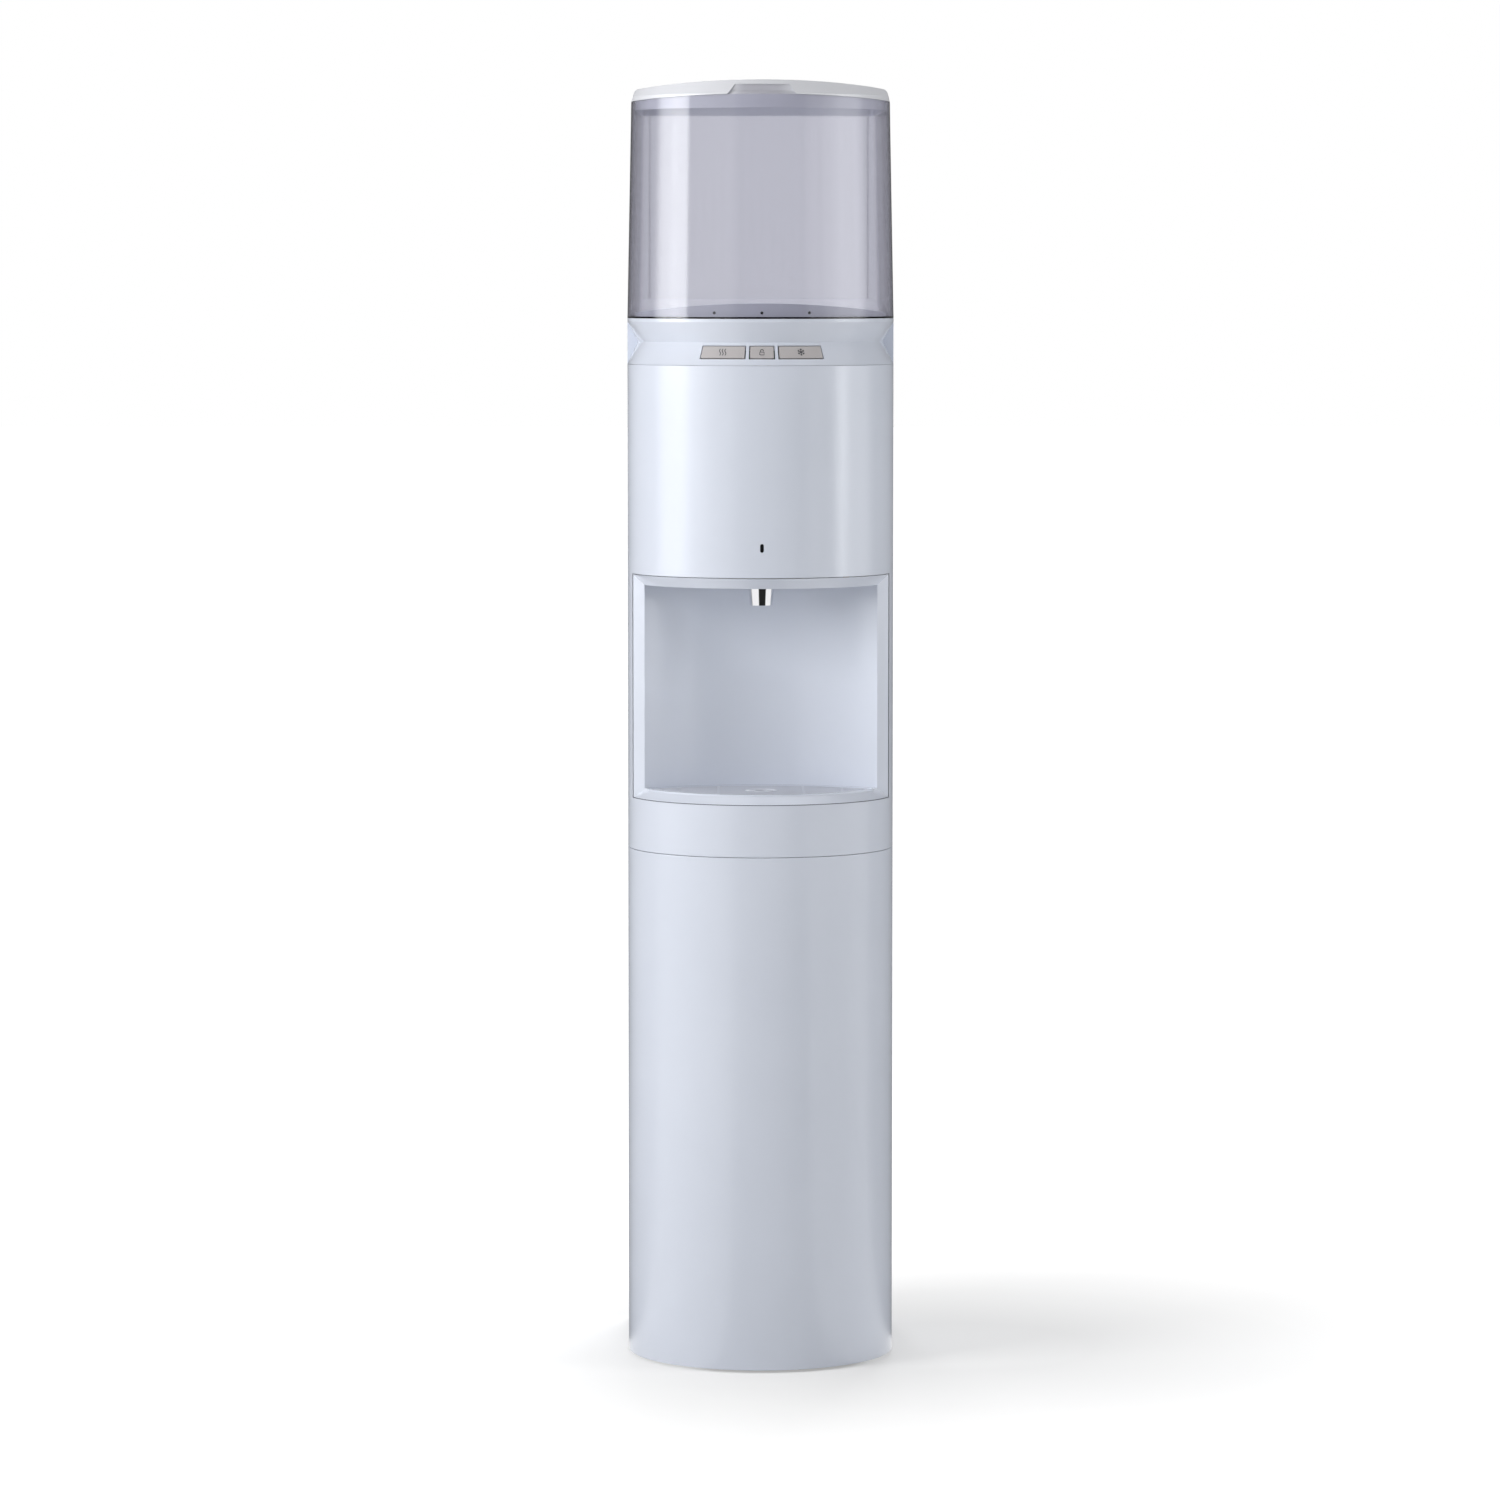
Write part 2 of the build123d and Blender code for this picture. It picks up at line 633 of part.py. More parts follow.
# Pipe routes that pass the shelves. The cold jacket takes the room that the valves and the hot pipe leave it
VALVE_Y = FRONT_Y + VALVE_SET
HOT_RISER = (-(HALF - WALL - 2 * OUTLET_RADIUS - 4 * PIPE_FIT), HOT_RISER_Y)
ROOM_BESIDE = -HOT_RISER[0] - OUTLET_RADIUS - JACKET_SIDE_GAP
ROOM_IN_FRONT = -VALVE_Y - VALVE_SIZE / 2 - JACKET_FRONT_GAP
JACKET_RADIUS = min(ROOM_BESIDE, ROOM_IN_FRONT)
COLD_RADIUS = JACKET_RADIUS - JACKET_WALL - COIL_ROOM
SUCTION_X = COLD_RADIUS + COIL_GAP + COIL_RADIUS
DRAIN_DROP = (-HOT_OUT_X, HOT_Y)

# Mid shelf: carries the hot tank
with BuildPart() as mid_shelf:
    with BuildSketch(Plane.XY.offset(Z_MID_SHELF)):
        draw_plan(WALL + FIT)
    extrude(amount=SHEET)
    with BuildSketch(Plane.XY.offset(Z_MID_SHELF)):
        draw_uprights(FIT)
        with Locations((SUCTION_X, SUCTION_Y)):
            Circle(LINE_RADIUS + PIPE_FIT)
        with Locations(DRAIN_DROP):
            Circle(OUTLET_RADIUS + PIPE_FIT)
    extrude(amount=SHEET, mode=Mode.SUBTRACT)
mid_shelf.part.label = "mid_shelf"

# Tank shelf above the alcove: carries the cold tank and both valves
with BuildPart() as tank_shelf:
    with BuildSketch(Plane.XY.offset(Z_TANK_SHELF)):
        draw_plan(WALL + FIT)
    extrude(amount=SHEET)
    with BuildSketch(Plane.XY.offset(Z_TANK_SHELF)):
        draw_uprights(FIT)
        with Locations((SUCTION_X, SUCTION_Y)):
            Circle(LINE_RADIUS + PIPE_FIT)
        with Locations(HOT_RISER, (0, HOT_FEED_Y), (VALVE_SPREAD, VALVE_Y), (-VALVE_SPREAD, VALVE_Y)):
            Circle(OUTLET_RADIUS + PIPE_FIT)
    extrude(amount=SHEET, mode=Mode.SUBTRACT)
tank_shelf.part.label = "tank_shelf"

# Alcove canopy: the sloping brow, the ceiling behind it and the hole for the spout
SPOUT_Y = FRONT_Y + SPOUT_SET
with BuildPart() as alcove_canopy:
    with BuildSketch(radial_plane(-90)):
        Polygon(
            (HALF - FIT, Z_HEAD - REVEAL),
            (WINDOW_RADIUS, Z_CEILING),
            (0, Z_CEILING),
            (0, Z_CEILING + CEILING_WALL),
            (WINDOW_RADIUS - CEILING_WALL / 2, Z_CEILING + CEILING_WALL),
            (HALF - FIT - WALL, Z_HEAD - REVEAL),
            align=None,
        )
    revolve(axis=AXIS, revolution_arc=180)
    with BuildSketch(Plane.XY.offset(Z_CEILING - CUT_OVER)):
        draw_behind_jambs(FIT)
        with Locations((0, SPOUT_Y)):
            Circle(SPOUT_TOP_RADIUS + FIT)
    extrude(amount=HEAD_DROP + 2 * CUT_OVER, mode=Mode.SUBTRACT)
alcove_canopy.part.label = "alcove_canopy"

# Tray seat: the pocket under the alcove that holds the drip tray
Z_POCKET = Z_RIM - TRAY_DEPTH - RUN
TRAY_RADIUS = WINDOW_RADIUS + TRAY_WALL
TIP_HALF = WINDOW_HALF - TRAY_TIP
with BuildPart() as tray_seat:
    with BuildSketch(Plane.XY.offset(Z_POCKET - LINER)):
        with Locations((0, ARC_Y)):
            Circle(INNER_RADIUS - FIT)
        keep_front(ALCOVE_BACK_Y + 2 * LINER)
    extrude(amount=LINER)
    with BuildSketch(Plane.XY.offset(Z_POCKET)):
        with Locations((0, ARC_Y)):
            Circle(TRAY_RADIUS + RUN + LINER)
            Circle(TRAY_RADIUS + RUN, mode=Mode.SUBTRACT)
        keep_front(JAMB_IN_Y)
    extrude(amount=Z_SILL - FIT - Z_POCKET)
tray_seat.part.label = "tray_seat"

# Alcove wall: the concave back with the bezel's two side faces
REAR_RADIUS = BACK_RADIUS + LINER
REAR_EDGE_Y = BACK_CENTRE_Y + sqrt(REAR_RADIUS**2 - WINDOW_HALF**2)
with BuildPart() as alcove_wall:
    with BuildSketch(Plane.XY.offset(Z_POCKET)):
        with BuildLine():
            ThreePointArc((-WINDOW_HALF, JAMB_IN_Y), (0, ALCOVE_BACK_Y), (WINDOW_HALF, JAMB_IN_Y))
            Line((WINDOW_HALF, JAMB_IN_Y), (WINDOW_HALF, REAR_EDGE_Y))
            ThreePointArc(
                (WINDOW_HALF, REAR_EDGE_Y), (0, ALCOVE_BACK_Y + LINER), (-WINDOW_HALF, REAR_EDGE_Y)
            )
            Line((-WINDOW_HALF, REAR_EDGE_Y), (-WINDOW_HALF, JAMB_IN_Y))
        make_face()
    extrude(amount=Z_CEILING - FIT - Z_POCKET)
    with BuildSketch(Plane.XY.offset(Z_SILL + FIT)):
        for side in (1, -1):
            Polygon(
                (side * WINDOW_HALF, JAMB_IN_Y),
                (side * (BEZEL_HALF - REVEAL), JAMB_OUT_Y),
                (side * (BEZEL_HALF - REVEAL), JAMB_OUT_Y + JAMB_BACK),
                (side * WINDOW_HALF, REAR_EDGE_Y),
                align=None,
            )
    extrude(amount=ALCOVE_HEIGHT - FIT - REVEAL)
alcove_wall.part.label = "alcove_wall"

# Drip tray: a sunk lens-shaped basin with a sloping lip that finishes the bezel
Z_TRAY = Z_RIM - TRAY_DEPTH
Z_GRILLE = Z_RIM - GRILLE_SINK - GRILLE_THICK
with BuildPart() as drip_tray:
    with BuildSketch(radial_plane(-90)):
        Polygon(
            (HALF - FIT, Z_SILL + FIT),
            (HALF - FIT, Z_SILL + 2 * FIT),
            (WINDOW_RADIUS, Z_RIM),
            (WINDOW_RADIUS - TRAY_RIM, Z_RIM),
            (WINDOW_RADIUS - TRAY_RIM, Z_SILL + FIT),
            align=None,
        )
    revolve(axis=AXIS, revolution_arc=180)
    with BuildSketch(Plane.XY.offset(Z_TRAY)):
        draw_behind_jambs(RUN)
    extrude(amount=2 * TRAY_DEPTH, mode=Mode.SUBTRACT)
    with BuildSketch(Plane.XY.offset(Z_SILL)):
        with Locations((0, ARC_Y)):
            Rectangle(2 * WINDOW_HALF, HALF, align=(Align.CENTER, Align.MAX))
        with Locations((0, BACK_CENTRE_Y)):
            Circle(BACK_RADIUS - RUN, mode=Mode.SUBTRACT)
    extrude(amount=2 * TRAY_DEPTH, mode=Mode.SUBTRACT)
    with BuildSketch(Plane.XY.offset(Z_TRAY)):
        draw_lens(TRAY_RADIUS, RUN, TIP_HALF)
    extrude(amount=TRAY_DEPTH)
    with BuildSketch(Plane.XY.offset(Z_GRILLE)):
        draw_lens(WINDOW_RADIUS - TRAY_RIM, RUN + TRAY_WALL, TIP_HALF - TRAY_WALL)
    extrude(amount=TRAY_DEPTH, mode=Mode.SUBTRACT)
    with BuildSketch(Plane.XY.offset(Z_TRAY + TRAY_WALL)):
        draw_lens(
            WINDOW_RADIUS - TRAY_RIM - GRILLE_LEDGE,
            RUN + TRAY_WALL + GRILLE_LEDGE,
            TIP_HALF - TRAY_WALL - GRILLE_LEDGE,
        )
    extrude(amount=TRAY_DEPTH, mode=Mode.SUBTRACT)
drip_tray.part.label = "drip_tray"

# Drip grille: slots that fan out from both tips, tied by cross bars and a hub
GRILLE_RADIUS = WINDOW_RADIUS - TRAY_RIM - FIT
GRILLE_BACK = RUN + TRAY_WALL + FIT
GRILLE_HALF = TIP_HALF - TRAY_WALL - FIT
GRILLE_FRONT_Y = ARC_Y - GRILLE_RADIUS + GRILLE_BORDER
GRILLE_REAR_Y = ALCOVE_BACK_Y - GRILLE_BACK - GRILLE_BORDER
HUB_Y = (GRILLE_FRONT_Y + GRILLE_REAR_Y) / 2
SLOT_PITCH = (GRILLE_REAR_Y - GRILLE_FRONT_Y) / SLAT_SLOTS
with BuildPart() as drip_grille:
    with BuildSketch(Plane.XY.offset(Z_GRILLE)):
        draw_lens(GRILLE_RADIUS, GRILLE_BACK, GRILLE_HALF)
    extrude(amount=GRILLE_THICK)
    with BuildSketch(Plane.XY.offset(Z_GRILLE)):
        for slot in range(SLAT_SLOTS):
            middle_y = GRILLE_FRONT_Y + (slot + 0.5) * SLOT_PITCH
            with BuildLine() as slot_edges:
                tip_left = (-GRILLE_HALF, JAMB_IN_Y)
                tip_right = (GRILLE_HALF, JAMB_IN_Y)
                ThreePointArc(tip_left, (0, middle_y - SLOT_WIDTH / 2), tip_right)
                ThreePointArc(tip_left, (0, middle_y + SLOT_WIDTH / 2), tip_right)
            make_face(slot_edges.edges())
        with Locations(*[(bar, HUB_Y) for bar in SLOT_BARS]):
            Rectangle(BAR_WIDTH, 2 * DEPTH, mode=Mode.SUBTRACT)
        with Locations((0, HUB_Y)):
            Circle(HUB_RADIUS, mode=Mode.SUBTRACT)
        with Locations((0, HUB_Y)):
            Rectangle(2 * (GRILLE_HALF - 2 * GRILLE_BORDER), 2 * DEPTH, mode=Mode.INTERSECT)
    extrude(amount=GRILLE_THICK, mode=Mode.SUBTRACT)
    with BuildSketch(Plane.XY.offset(Z_GRILLE + GRILLE_THICK)):
        with Locations((0, HUB_Y)):
            Circle(HUB_RADIUS)
            Circle(HUB_RADIUS - BAR_WIDTH, mode=Mode.SUBTRACT)
    extrude(amount=HUB_RISE)
    with Locations((0, HUB_Y, Z_GRILLE)):
        Cylinder(HUB_HOLE, 4 * GRILLE_THICK, mode=Mode.SUBTRACT)
drip_grille.part.label = "drip_grille"

# Spout nozzle: a plated cone under the ceiling
with BuildPart() as spout_nozzle:
    with BuildSketch(Plane.XZ.offset(-SPOUT_Y)):
        Polygon(
            (SPOUT_BORE, Z_CEILING + CEILING_WALL),
            (SPOUT_TOP_RADIUS, Z_CEILING + CEILING_WALL),
            (SPOUT_TOP_RADIUS, Z_CEILING),
            (SPOUT_END_RADIUS, Z_CEILING - SPOUT_DROP),
            (SPOUT_END_RADIUS - LINER, Z_CEILING - SPOUT_DROP),
            (SPOUT_BORE, Z_CEILING - SPOUT_DROP / 2),
            align=None,
        )
    revolve(axis=Axis((0, SPOUT_Y, 0), (0, 0, 1)))
spout_nozzle.part.label = "spout_nozzle"

# Manifold block on the ceiling: joins both valves to the spout
MANIFOLD_TOP = Z_TANK_SHELF - FIT
MANIFOLD_FRONT = VALVE_Y - VALVE_SIZE / 2
MANIFOLD_BACK = SPOUT_Y + SPOUT_TOP_RADIUS + LINER
with BuildPart() as spout_manifold:
    with BuildSketch(Plane.XY.offset(Z_CEILING + CEILING_WALL)):
        with Locations((0, (MANIFOLD_FRONT + MANIFOLD_BACK) / 2)):
            RectangleRounded(MANIFOLD_WIDTH, MANIFOLD_BACK - MANIFOLD_FRONT, MANIFOLD_CORNER)
        with Locations((0, SPOUT_Y)):
            Circle(SPOUT_BORE, mode=Mode.SUBTRACT)
    extrude(amount=MANIFOLD_TOP - Z_CEILING - CEILING_WALL)
    with BuildSketch(Plane.XY.offset(MANIFOLD_TOP)):
        with Locations((VALVE_SPREAD, VALVE_Y), (-VALVE_SPREAD, VALVE_Y)):
            Circle(OUTLET_RADIUS + FIT)
    extrude(amount=-(MANIFOLD_TOP - Z_CEILING) / 2, mode=Mode.SUBTRACT)
spout_manifold.part.label = "spout_manifold"

# Both solenoid valves stand on the tank shelf, each with a nipple down into the manifold
Z_VALVE = Z_TANK_SHELF + SHEET
Z_COLD = Z_VALVE + JACKET_WALL
Z_INLET = Z_COLD + OUTLET_RISE


def build_valve(valve, side):
    """Valve body, coil and outlet nipple of one valve."""
    with BuildSketch(Plane.XY.offset(Z_VALVE)) as body:
        with Locations((side * VALVE_SPREAD, VALVE_Y)):
            RectangleRounded(VALVE_SIZE, VALVE_SIZE, LINER)
    extrude(body.sketch, amount=VALVE_BODY)
    with BuildSketch(Plane.XY.offset(Z_VALVE + VALVE_BODY)) as coil:
        with Locations((side * VALVE_SPREAD, VALVE_Y)):
            Circle(VALVE_COIL_RADIUS)
    extrude(coil.sketch, amount=VALVE_COIL_HEIGHT)
    chamfer(valve.faces().sort_by(Axis.Z)[-1].edges(), LINER)
    with BuildSketch(Plane.XY.offset(Z_VALVE)) as nipple:
        with Locations((side * VALVE_SPREAD, VALVE_Y)):
            Circle(OUTLET_RADIUS)
    extrude(nipple.sketch, amount=-(Z_VALVE - MANIFOLD_TOP + WALL))


COLD_INLET_Y = VALVE_Y + VALVE_SIZE / 2 + STUB_LENGTH
with BuildPart() as cold_valve:
    build_valve(cold_valve, 1)
    with Locations(Plane.XZ.offset(-VALVE_Y)):
        with Locations((VALVE_SPREAD, Z_INLET, 0)):
            Cylinder(
                OUTLET_RADIUS, COLD_INLET_Y - VALVE_Y, rotation=(180, 0, 0),
                align=(Align.CENTER, Align.CENTER, Align.MIN),
            )
cold_valve.part.label = "cold_valve"

HOT_INLET_X = -VALVE_SPREAD - VALVE_SIZE / 2 - STUB_LENGTH
with BuildPart() as hot_valve:
    build_valve(hot_valve, -1)
    with Locations(Plane.YZ.offset(-VALVE_SPREAD)):
        with Locations((VALVE_Y, Z_INLET, 0)):
            Cylinder(
                OUTLET_RADIUS, -VALVE_SPREAD - HOT_INLET_X, rotation=(180, 0, 0),
                align=(Align.CENTER, Align.CENTER, Align.MIN),
            )
hot_valve.part.label = "hot_valve"

# Presence sensor window in the front panel
SENSOR_Z = Z_HEAD + SENSOR_RISE
with BuildPart() as sensor_lens:
    with BuildSketch(Plane.XZ.offset(-FRONT_Y - FIT)):
        with Locations((0, SENSOR_Z)):
            SlotOverall(SENSOR_HEIGHT, SENSOR_WIDTH, rotation=90)
    extrude(amount=-WALL)
    with BuildSketch(Plane.XZ.offset(-FRONT_Y - FIT - WALL)):
        with Locations((0, SENSOR_Z)):
            SlotOverall(SENSOR_HEIGHT + 2 * LINER, SENSOR_WIDTH + 2 * LINER, rotation=90)
    extrude(amount=-LINER)
sensor_lens.part.label = "sensor_lens"

# Control neck: a folded half-round wall with the button slope below and a bevel above
WALL_TOP = (HALF, Z_NECK)
WALL_RIM = (HALF, Z_RING)
WALL_WAIST = (WAIST_RADIUS, Z_WAIST)
WALL_FOOT = (HALF, Z_PANEL)
INNER_RIM = inner_corner(WALL_TOP, WALL_RIM, WALL_WAIST)
INNER_WAIST = inner_corner(WALL_RIM, WALL_WAIST, WALL_FOOT)
FOOT_ALONG = (BUTTON_RISE - WALL * sin(SLOPE_ANGLE)) / cos(SLOPE_ANGLE)
INNER_FOOT = slope_point(FOOT_ALONG, -WALL)
BUTTON_MIDDLE = BUTTON_START + BUTTON_LENGTH / 2
BUTTON_ARC = slope_point(BUTTON_MIDDLE, 0)[0]
BUTTON_END = BUTTON_START + BUTTON_LENGTH
SIDE_BUTTON_STEP = MIDDLE_BUTTON_WIDTH / 2 + BUTTON_SPACE + SIDE_BUTTON_WIDTH / 2
SIDE_BUTTON_ANGLE = degrees(SIDE_BUTTON_STEP / BUTTON_ARC)
FLANGE_OUT = -WALL - FIT
BOARD_OUT = FLANGE_OUT - BUTTON_FLANGE - BUTTON_TRAVEL - FIT - SWITCH_HEIGHT
BUTTONS = {
    "hot": (-SIDE_BUTTON_ANGLE, SIDE_BUTTON_WIDTH),
    "unlock": (0.0, MIDDLE_BUTTON_WIDTH),
    "cold": (SIDE_BUTTON_ANGLE, SIDE_BUTTON_WIDTH),
}


def revolve_block(corners, middle, width, mode=Mode.ADD):
    """Turn a slope section about the front axis over a width measured along the button's arc."""
    sweep_angle = degrees(width / BUTTON_ARC)
    with BuildSketch(radial_plane(middle - sweep_angle / 2)) as section:
        Polygon(*corners, align=None)
    revolve(section.sketch, axis=AXIS, revolution_arc=sweep_angle, mode=mode)


with BuildPart() as control_neck:
    with BuildSketch(radial_plane(-90)):
        Polygon(
            WALL_TOP, WALL_RIM, WALL_WAIST, WALL_FOOT, INNER_FOOT, INNER_WAIST, INNER_RIM,
            (INNER_RADIUS, Z_NECK), align=None,
        )
    revolve(axis=AXIS, revolution_arc=180)
    for middle, width in BUTTONS.values():
        opening = slope_block(BUTTON_START - BUTTON_GAP, BUTTON_END + BUTTON_GAP, -2 * WALL, WALL)
        revolve_block(opening, middle, width + 2 * BUTTON_GAP, mode=Mode.SUBTRACT)
    post = slope_block(BUTTON_START, BUTTON_END, BOARD_OUT + FIT, -WALL / 2)
    for post_angle in (-BOARD_HALF_ANGLE + POST_ANGLE / 2, BOARD_HALF_ANGLE - POST_ANGLE / 2):
        revolve_block(post, post_angle, radians(POST_ANGLE) * BUTTON_ARC)
control_neck.part.label = "control_neck"


def build_button(middle, width):
    """A curved cap in the slope with a retaining flange behind it."""
    cap = slope_block(BUTTON_START, BUTTON_END, FLANGE_OUT - BUTTON_FLANGE, BUTTON_PROUD)
    revolve_block(cap, middle, width)
    flange = slope_block(
        BUTTON_START - FLANGE_WIDER, BUTTON_END + FLANGE_WIDER, FLANGE_OUT - BUTTON_FLANGE, FLANGE_OUT
    )
    revolve_block(flange, middle, width)


with BuildPart() as button_hot:
    build_button(*BUTTONS["hot"])
button_hot.part.label = "button_hot"

with BuildPart() as button_unlock:
    build_button(*BUTTONS["unlock"])
button_unlock.part.label = "button_unlock"

with BuildPart() as button_cold:
    build_button(*BUTTONS["cold"])
button_cold.part.label = "button_cold"

# Curved switch board behind the buttons, and its three switches
with BuildPart() as button_board:
    board = slope_block(BUTTON_START, BUTTON_END, BOARD_OUT - BOARD_THICK, BOARD_OUT)
    revolve_block(board, 0, 2 * radians(BOARD_HALF_ANGLE) * BUTTON_ARC)
button_board.part.label = "button_board"

with BuildPart() as button_switches:
    switch = slope_block(
        BUTTON_MIDDLE - SWITCH_SIZE / 2, BUTTON_MIDDLE + SWITCH_SIZE / 2, BOARD_OUT, BOARD_OUT + SWITCH_HEIGHT
    )
    for middle, width in BUTTONS.values():
        revolve_block(switch, middle, SWITCH_SIZE)
button_switches.part.label = "button_switches"

# Bottle deck: a plinth whose top dips along a wide trough, on a flange inside the neck
Z_VALLEY = Z_NECK + DECK_VALLEY
Z_DECK_TOP = Z_NECK + DECK_BLANK
DECK_RADIUS = HALF - DECK_INSET
Z_SPOTFACE = Z_VALLEY - EDGE
Z_FLANGE = Z_NECK - DECK_FLANGE
TROUGH_AXIS = (TROUGH_SHIFT, Z_VALLEY + TROUGH_RADIUS)
Z_INDICATOR = Z_NECK + INDICATOR_RISE
INDICATOR_TURN = degrees(atan2(INDICATOR_SPREAD, sqrt(DECK_RADIUS**2 - INDICATOR_SPREAD**2)))
INDICATOR_ANGLES = (-INDICATOR_TURN, 0, INDICATOR_TURN)
with BuildPart() as deck_hollow:
    with BuildSketch(Plane.XY.offset(Z_FLANGE - WALL)):
        draw_plan(DECK_INSET + WALL)
    extrude(amount=Z_DECK_TOP - Z_FLANGE)
    with BuildSketch(Plane.YZ):
        with Locations(TROUGH_AXIS):
            Circle(TROUGH_RADIUS + WALL)
    extrude(amount=WIDTH, both=True, mode=Mode.SUBTRACT)

with BuildPart() as bottle_deck:
    with BuildSketch(Plane.XY.offset(Z_FLANGE)):
        draw_plan(WALL + FIT)
    extrude(amount=DECK_FLANGE)
    with BuildSketch(Plane.XY.offset(Z_NECK)):
        draw_plan(DECK_INSET)
    extrude(amount=Z_DECK_TOP - Z_NECK)
    with BuildSketch(Plane.YZ):
        with Locations(TROUGH_AXIS):
            Circle(TROUGH_RADIUS)
    extrude(amount=WIDTH, both=True, mode=Mode.SUBTRACT)
    add(deck_hollow.part, mode=Mode.SUBTRACT)
    with Locations((0, 0, Z_SPOTFACE)):
        Cylinder(
            RECEIVER_RADIUS + FIT,
            Z_DECK_TOP,
            align=(Align.CENTER, Align.CENTER, Align.MIN),
            mode=Mode.SUBTRACT,
        )
        Cylinder(WELL_RADIUS + LINER + FIT, Z_DECK_TOP, mode=Mode.SUBTRACT)
    for lens_angle in INDICATOR_ANGLES:
        with Locations(spoke_plane(lens_angle, Z_INDICATOR).offset(DECK_RADIUS - 2 * WALL)):
            Cylinder(INDICATOR_RADIUS + PRESS_FIT, 4 * WALL, mode=Mode.SUBTRACT)
bottle_deck.part.label = "bottle_deck"

# Three indicator lenses in the front of the deck
with BuildPart() as indicator_lenses:
    for lens_angle in INDICATOR_ANGLES:
        with Locations(spoke_plane(lens_angle, Z_INDICATOR).offset(DECK_RADIUS - WALL)):
            Cylinder(INDICATOR_RADIUS, WALL + FIT, align=(Align.CENTER, Align.CENTER, Align.MIN))
indicator_lenses.part.label = "indicator_lenses"

# Bottle receiver: a cup sunk in the deck, with the water probe standing in it
Z_WELL = Z_SPOTFACE - WELL_DEPTH
with BuildPart() as bottle_receiver:
    with BuildSketch(Plane.XZ):
        Polygon(
            (WELL_RADIUS, Z_SPOTFACE + RECEIVER_RIM),
            (RECEIVER_RADIUS - EDGE, Z_SPOTFACE + RECEIVER_RIM),
            (RECEIVER_RADIUS, Z_SPOTFACE + RECEIVER_RIM - EDGE),
            (RECEIVER_RADIUS, Z_SPOTFACE),
            (WELL_RADIUS + LINER, Z_SPOTFACE),
            (WELL_RADIUS + LINER, Z_WELL - LINER),
            (PROBE_RADIUS + FIT, Z_WELL - LINER),
            (PROBE_RADIUS + FIT, Z_WELL),
            (WELL_RADIUS, Z_WELL),
            align=None,
        )
    revolve(axis=Axis.Z)
bottle_receiver.part.label = "bottle_receiver"

with BuildPart() as bottle_probe:
    with BuildSketch(Plane.XZ):
        Polygon(
            (PROBE_RADIUS - LINER, Z_WELL - PROBE_TAIL),
            (PROBE_RADIUS, Z_WELL - PROBE_TAIL),
            (PROBE_RADIUS, Z_WELL),
            (PROBE_FLANGE, Z_WELL),
            (PROBE_FLANGE, Z_WELL + LINER),
            (PROBE_RADIUS, Z_WELL + LINER),
            (PROBE_RADIUS, Z_WELL + PROBE_LENGTH - PROBE_TIP),
            (LINER, Z_WELL + PROBE_LENGTH),
            (0, Z_WELL + PROBE_LENGTH),
            (0, Z_WELL + PROBE_LENGTH - 2 * LINER),
            (LINER / 2, Z_WELL + PROBE_LENGTH - 2 * LINER),
            (PROBE_RADIUS - LINER, Z_WELL + PROBE_LENGTH - PROBE_TIP - LINER),
            align=None,
        )
    revolve(axis=Axis.Z)
    with Locations((0, 0, Z_WELL + PROBE_LENGTH - 2 * PROBE_TIP)):
        with PolarLocations(PROBE_RADIUS, 4):
            Cylinder(LINER, 4 * LINER, rotation=(0, 90, 0), mode=Mode.SUBTRACT)
bottle_probe.part.label = "bottle_probe"

with BuildPart() as probe_seal:
    with BuildSketch(Plane.XY.offset(Z_WELL + LINER)):
        Circle(PROBE_RADIUS + SEAL_WIDTH)
        Circle(PROBE_RADIUS + PRESS_FIT, mode=Mode.SUBTRACT)
    extrude(amount=SEAL_HEIGHT)
    fillet(probe_seal.edges().group_by(Axis.Z)[-1], EDGE)
probe_seal.part.label = "probe_seal"

# Clear bottle cover: a drafted shell of the same plan, open below, cut to a crown along its top edge
Z_OVER_COVER = Z_COVER + EDGE
DRAFT_OVER = COVER_DRAFT * (Z_OVER_COVER - Z_NECK) / COVER_HEIGHT
with BuildPart() as bottle_cover:
    with BuildSketch(Plane.XY.offset(Z_NECK + FIT)):
        draw_plan(0)
    with BuildSketch(Plane.XY.offset(Z_OVER_COVER)):
        draw_plan(DRAFT_OVER)
    loft(ruled=True)
    with BuildSketch(Plane.XY.offset(Z_NECK + FIT)):
        draw_plan(COVER_WALL)
    with BuildSketch(Plane.XY.offset(Z_OVER_COVER)):
        draw_plan(DRAFT_OVER + COVER_WALL)
    loft(ruled=True, mode=Mode.SUBTRACT)
    with BuildSketch(Plane.XZ):
        draw_crown(0, Z_COVER)
    extrude(amount=DEPTH, both=True, mode=Mode.INTERSECT)
bottle_cover.part.label = "bottle_cover"

# Cover cap: a crowned lid with sloping edges, an arched finger recess and a plug inside the cover
GRIP_Y = FRONT_Y + COVER_DRAFT + GRIP_SET
with BuildPart() as cap_hollow:
    with BuildSketch(Plane.XY.offset(Z_COVER - CROWN)):
        draw_plan(COVER_DRAFT + CAP_WALL)
    with BuildSketch(Plane.XY.offset(Z_TOP)):
        draw_plan(COVER_DRAFT + CAP_WALL + CAP_SLOPE)
    loft(ruled=True)
    with BuildSketch(Plane.XZ):
        draw_cap_front(CAP_WALL)
    extrude(amount=DEPTH, both=True, mode=Mode.INTERSECT)
    with BuildSketch(Plane.XY.offset(Z_COVER - CROWN)):
        with Locations((0, GRIP_Y + CAP_WALL)):
            Rectangle(GRIP_WIDTH + 2 * CAP_WALL, DEPTH, align=(Align.CENTER, Align.MAX))
    extrude(amount=CROWN + CAP_HEIGHT, mode=Mode.SUBTRACT)

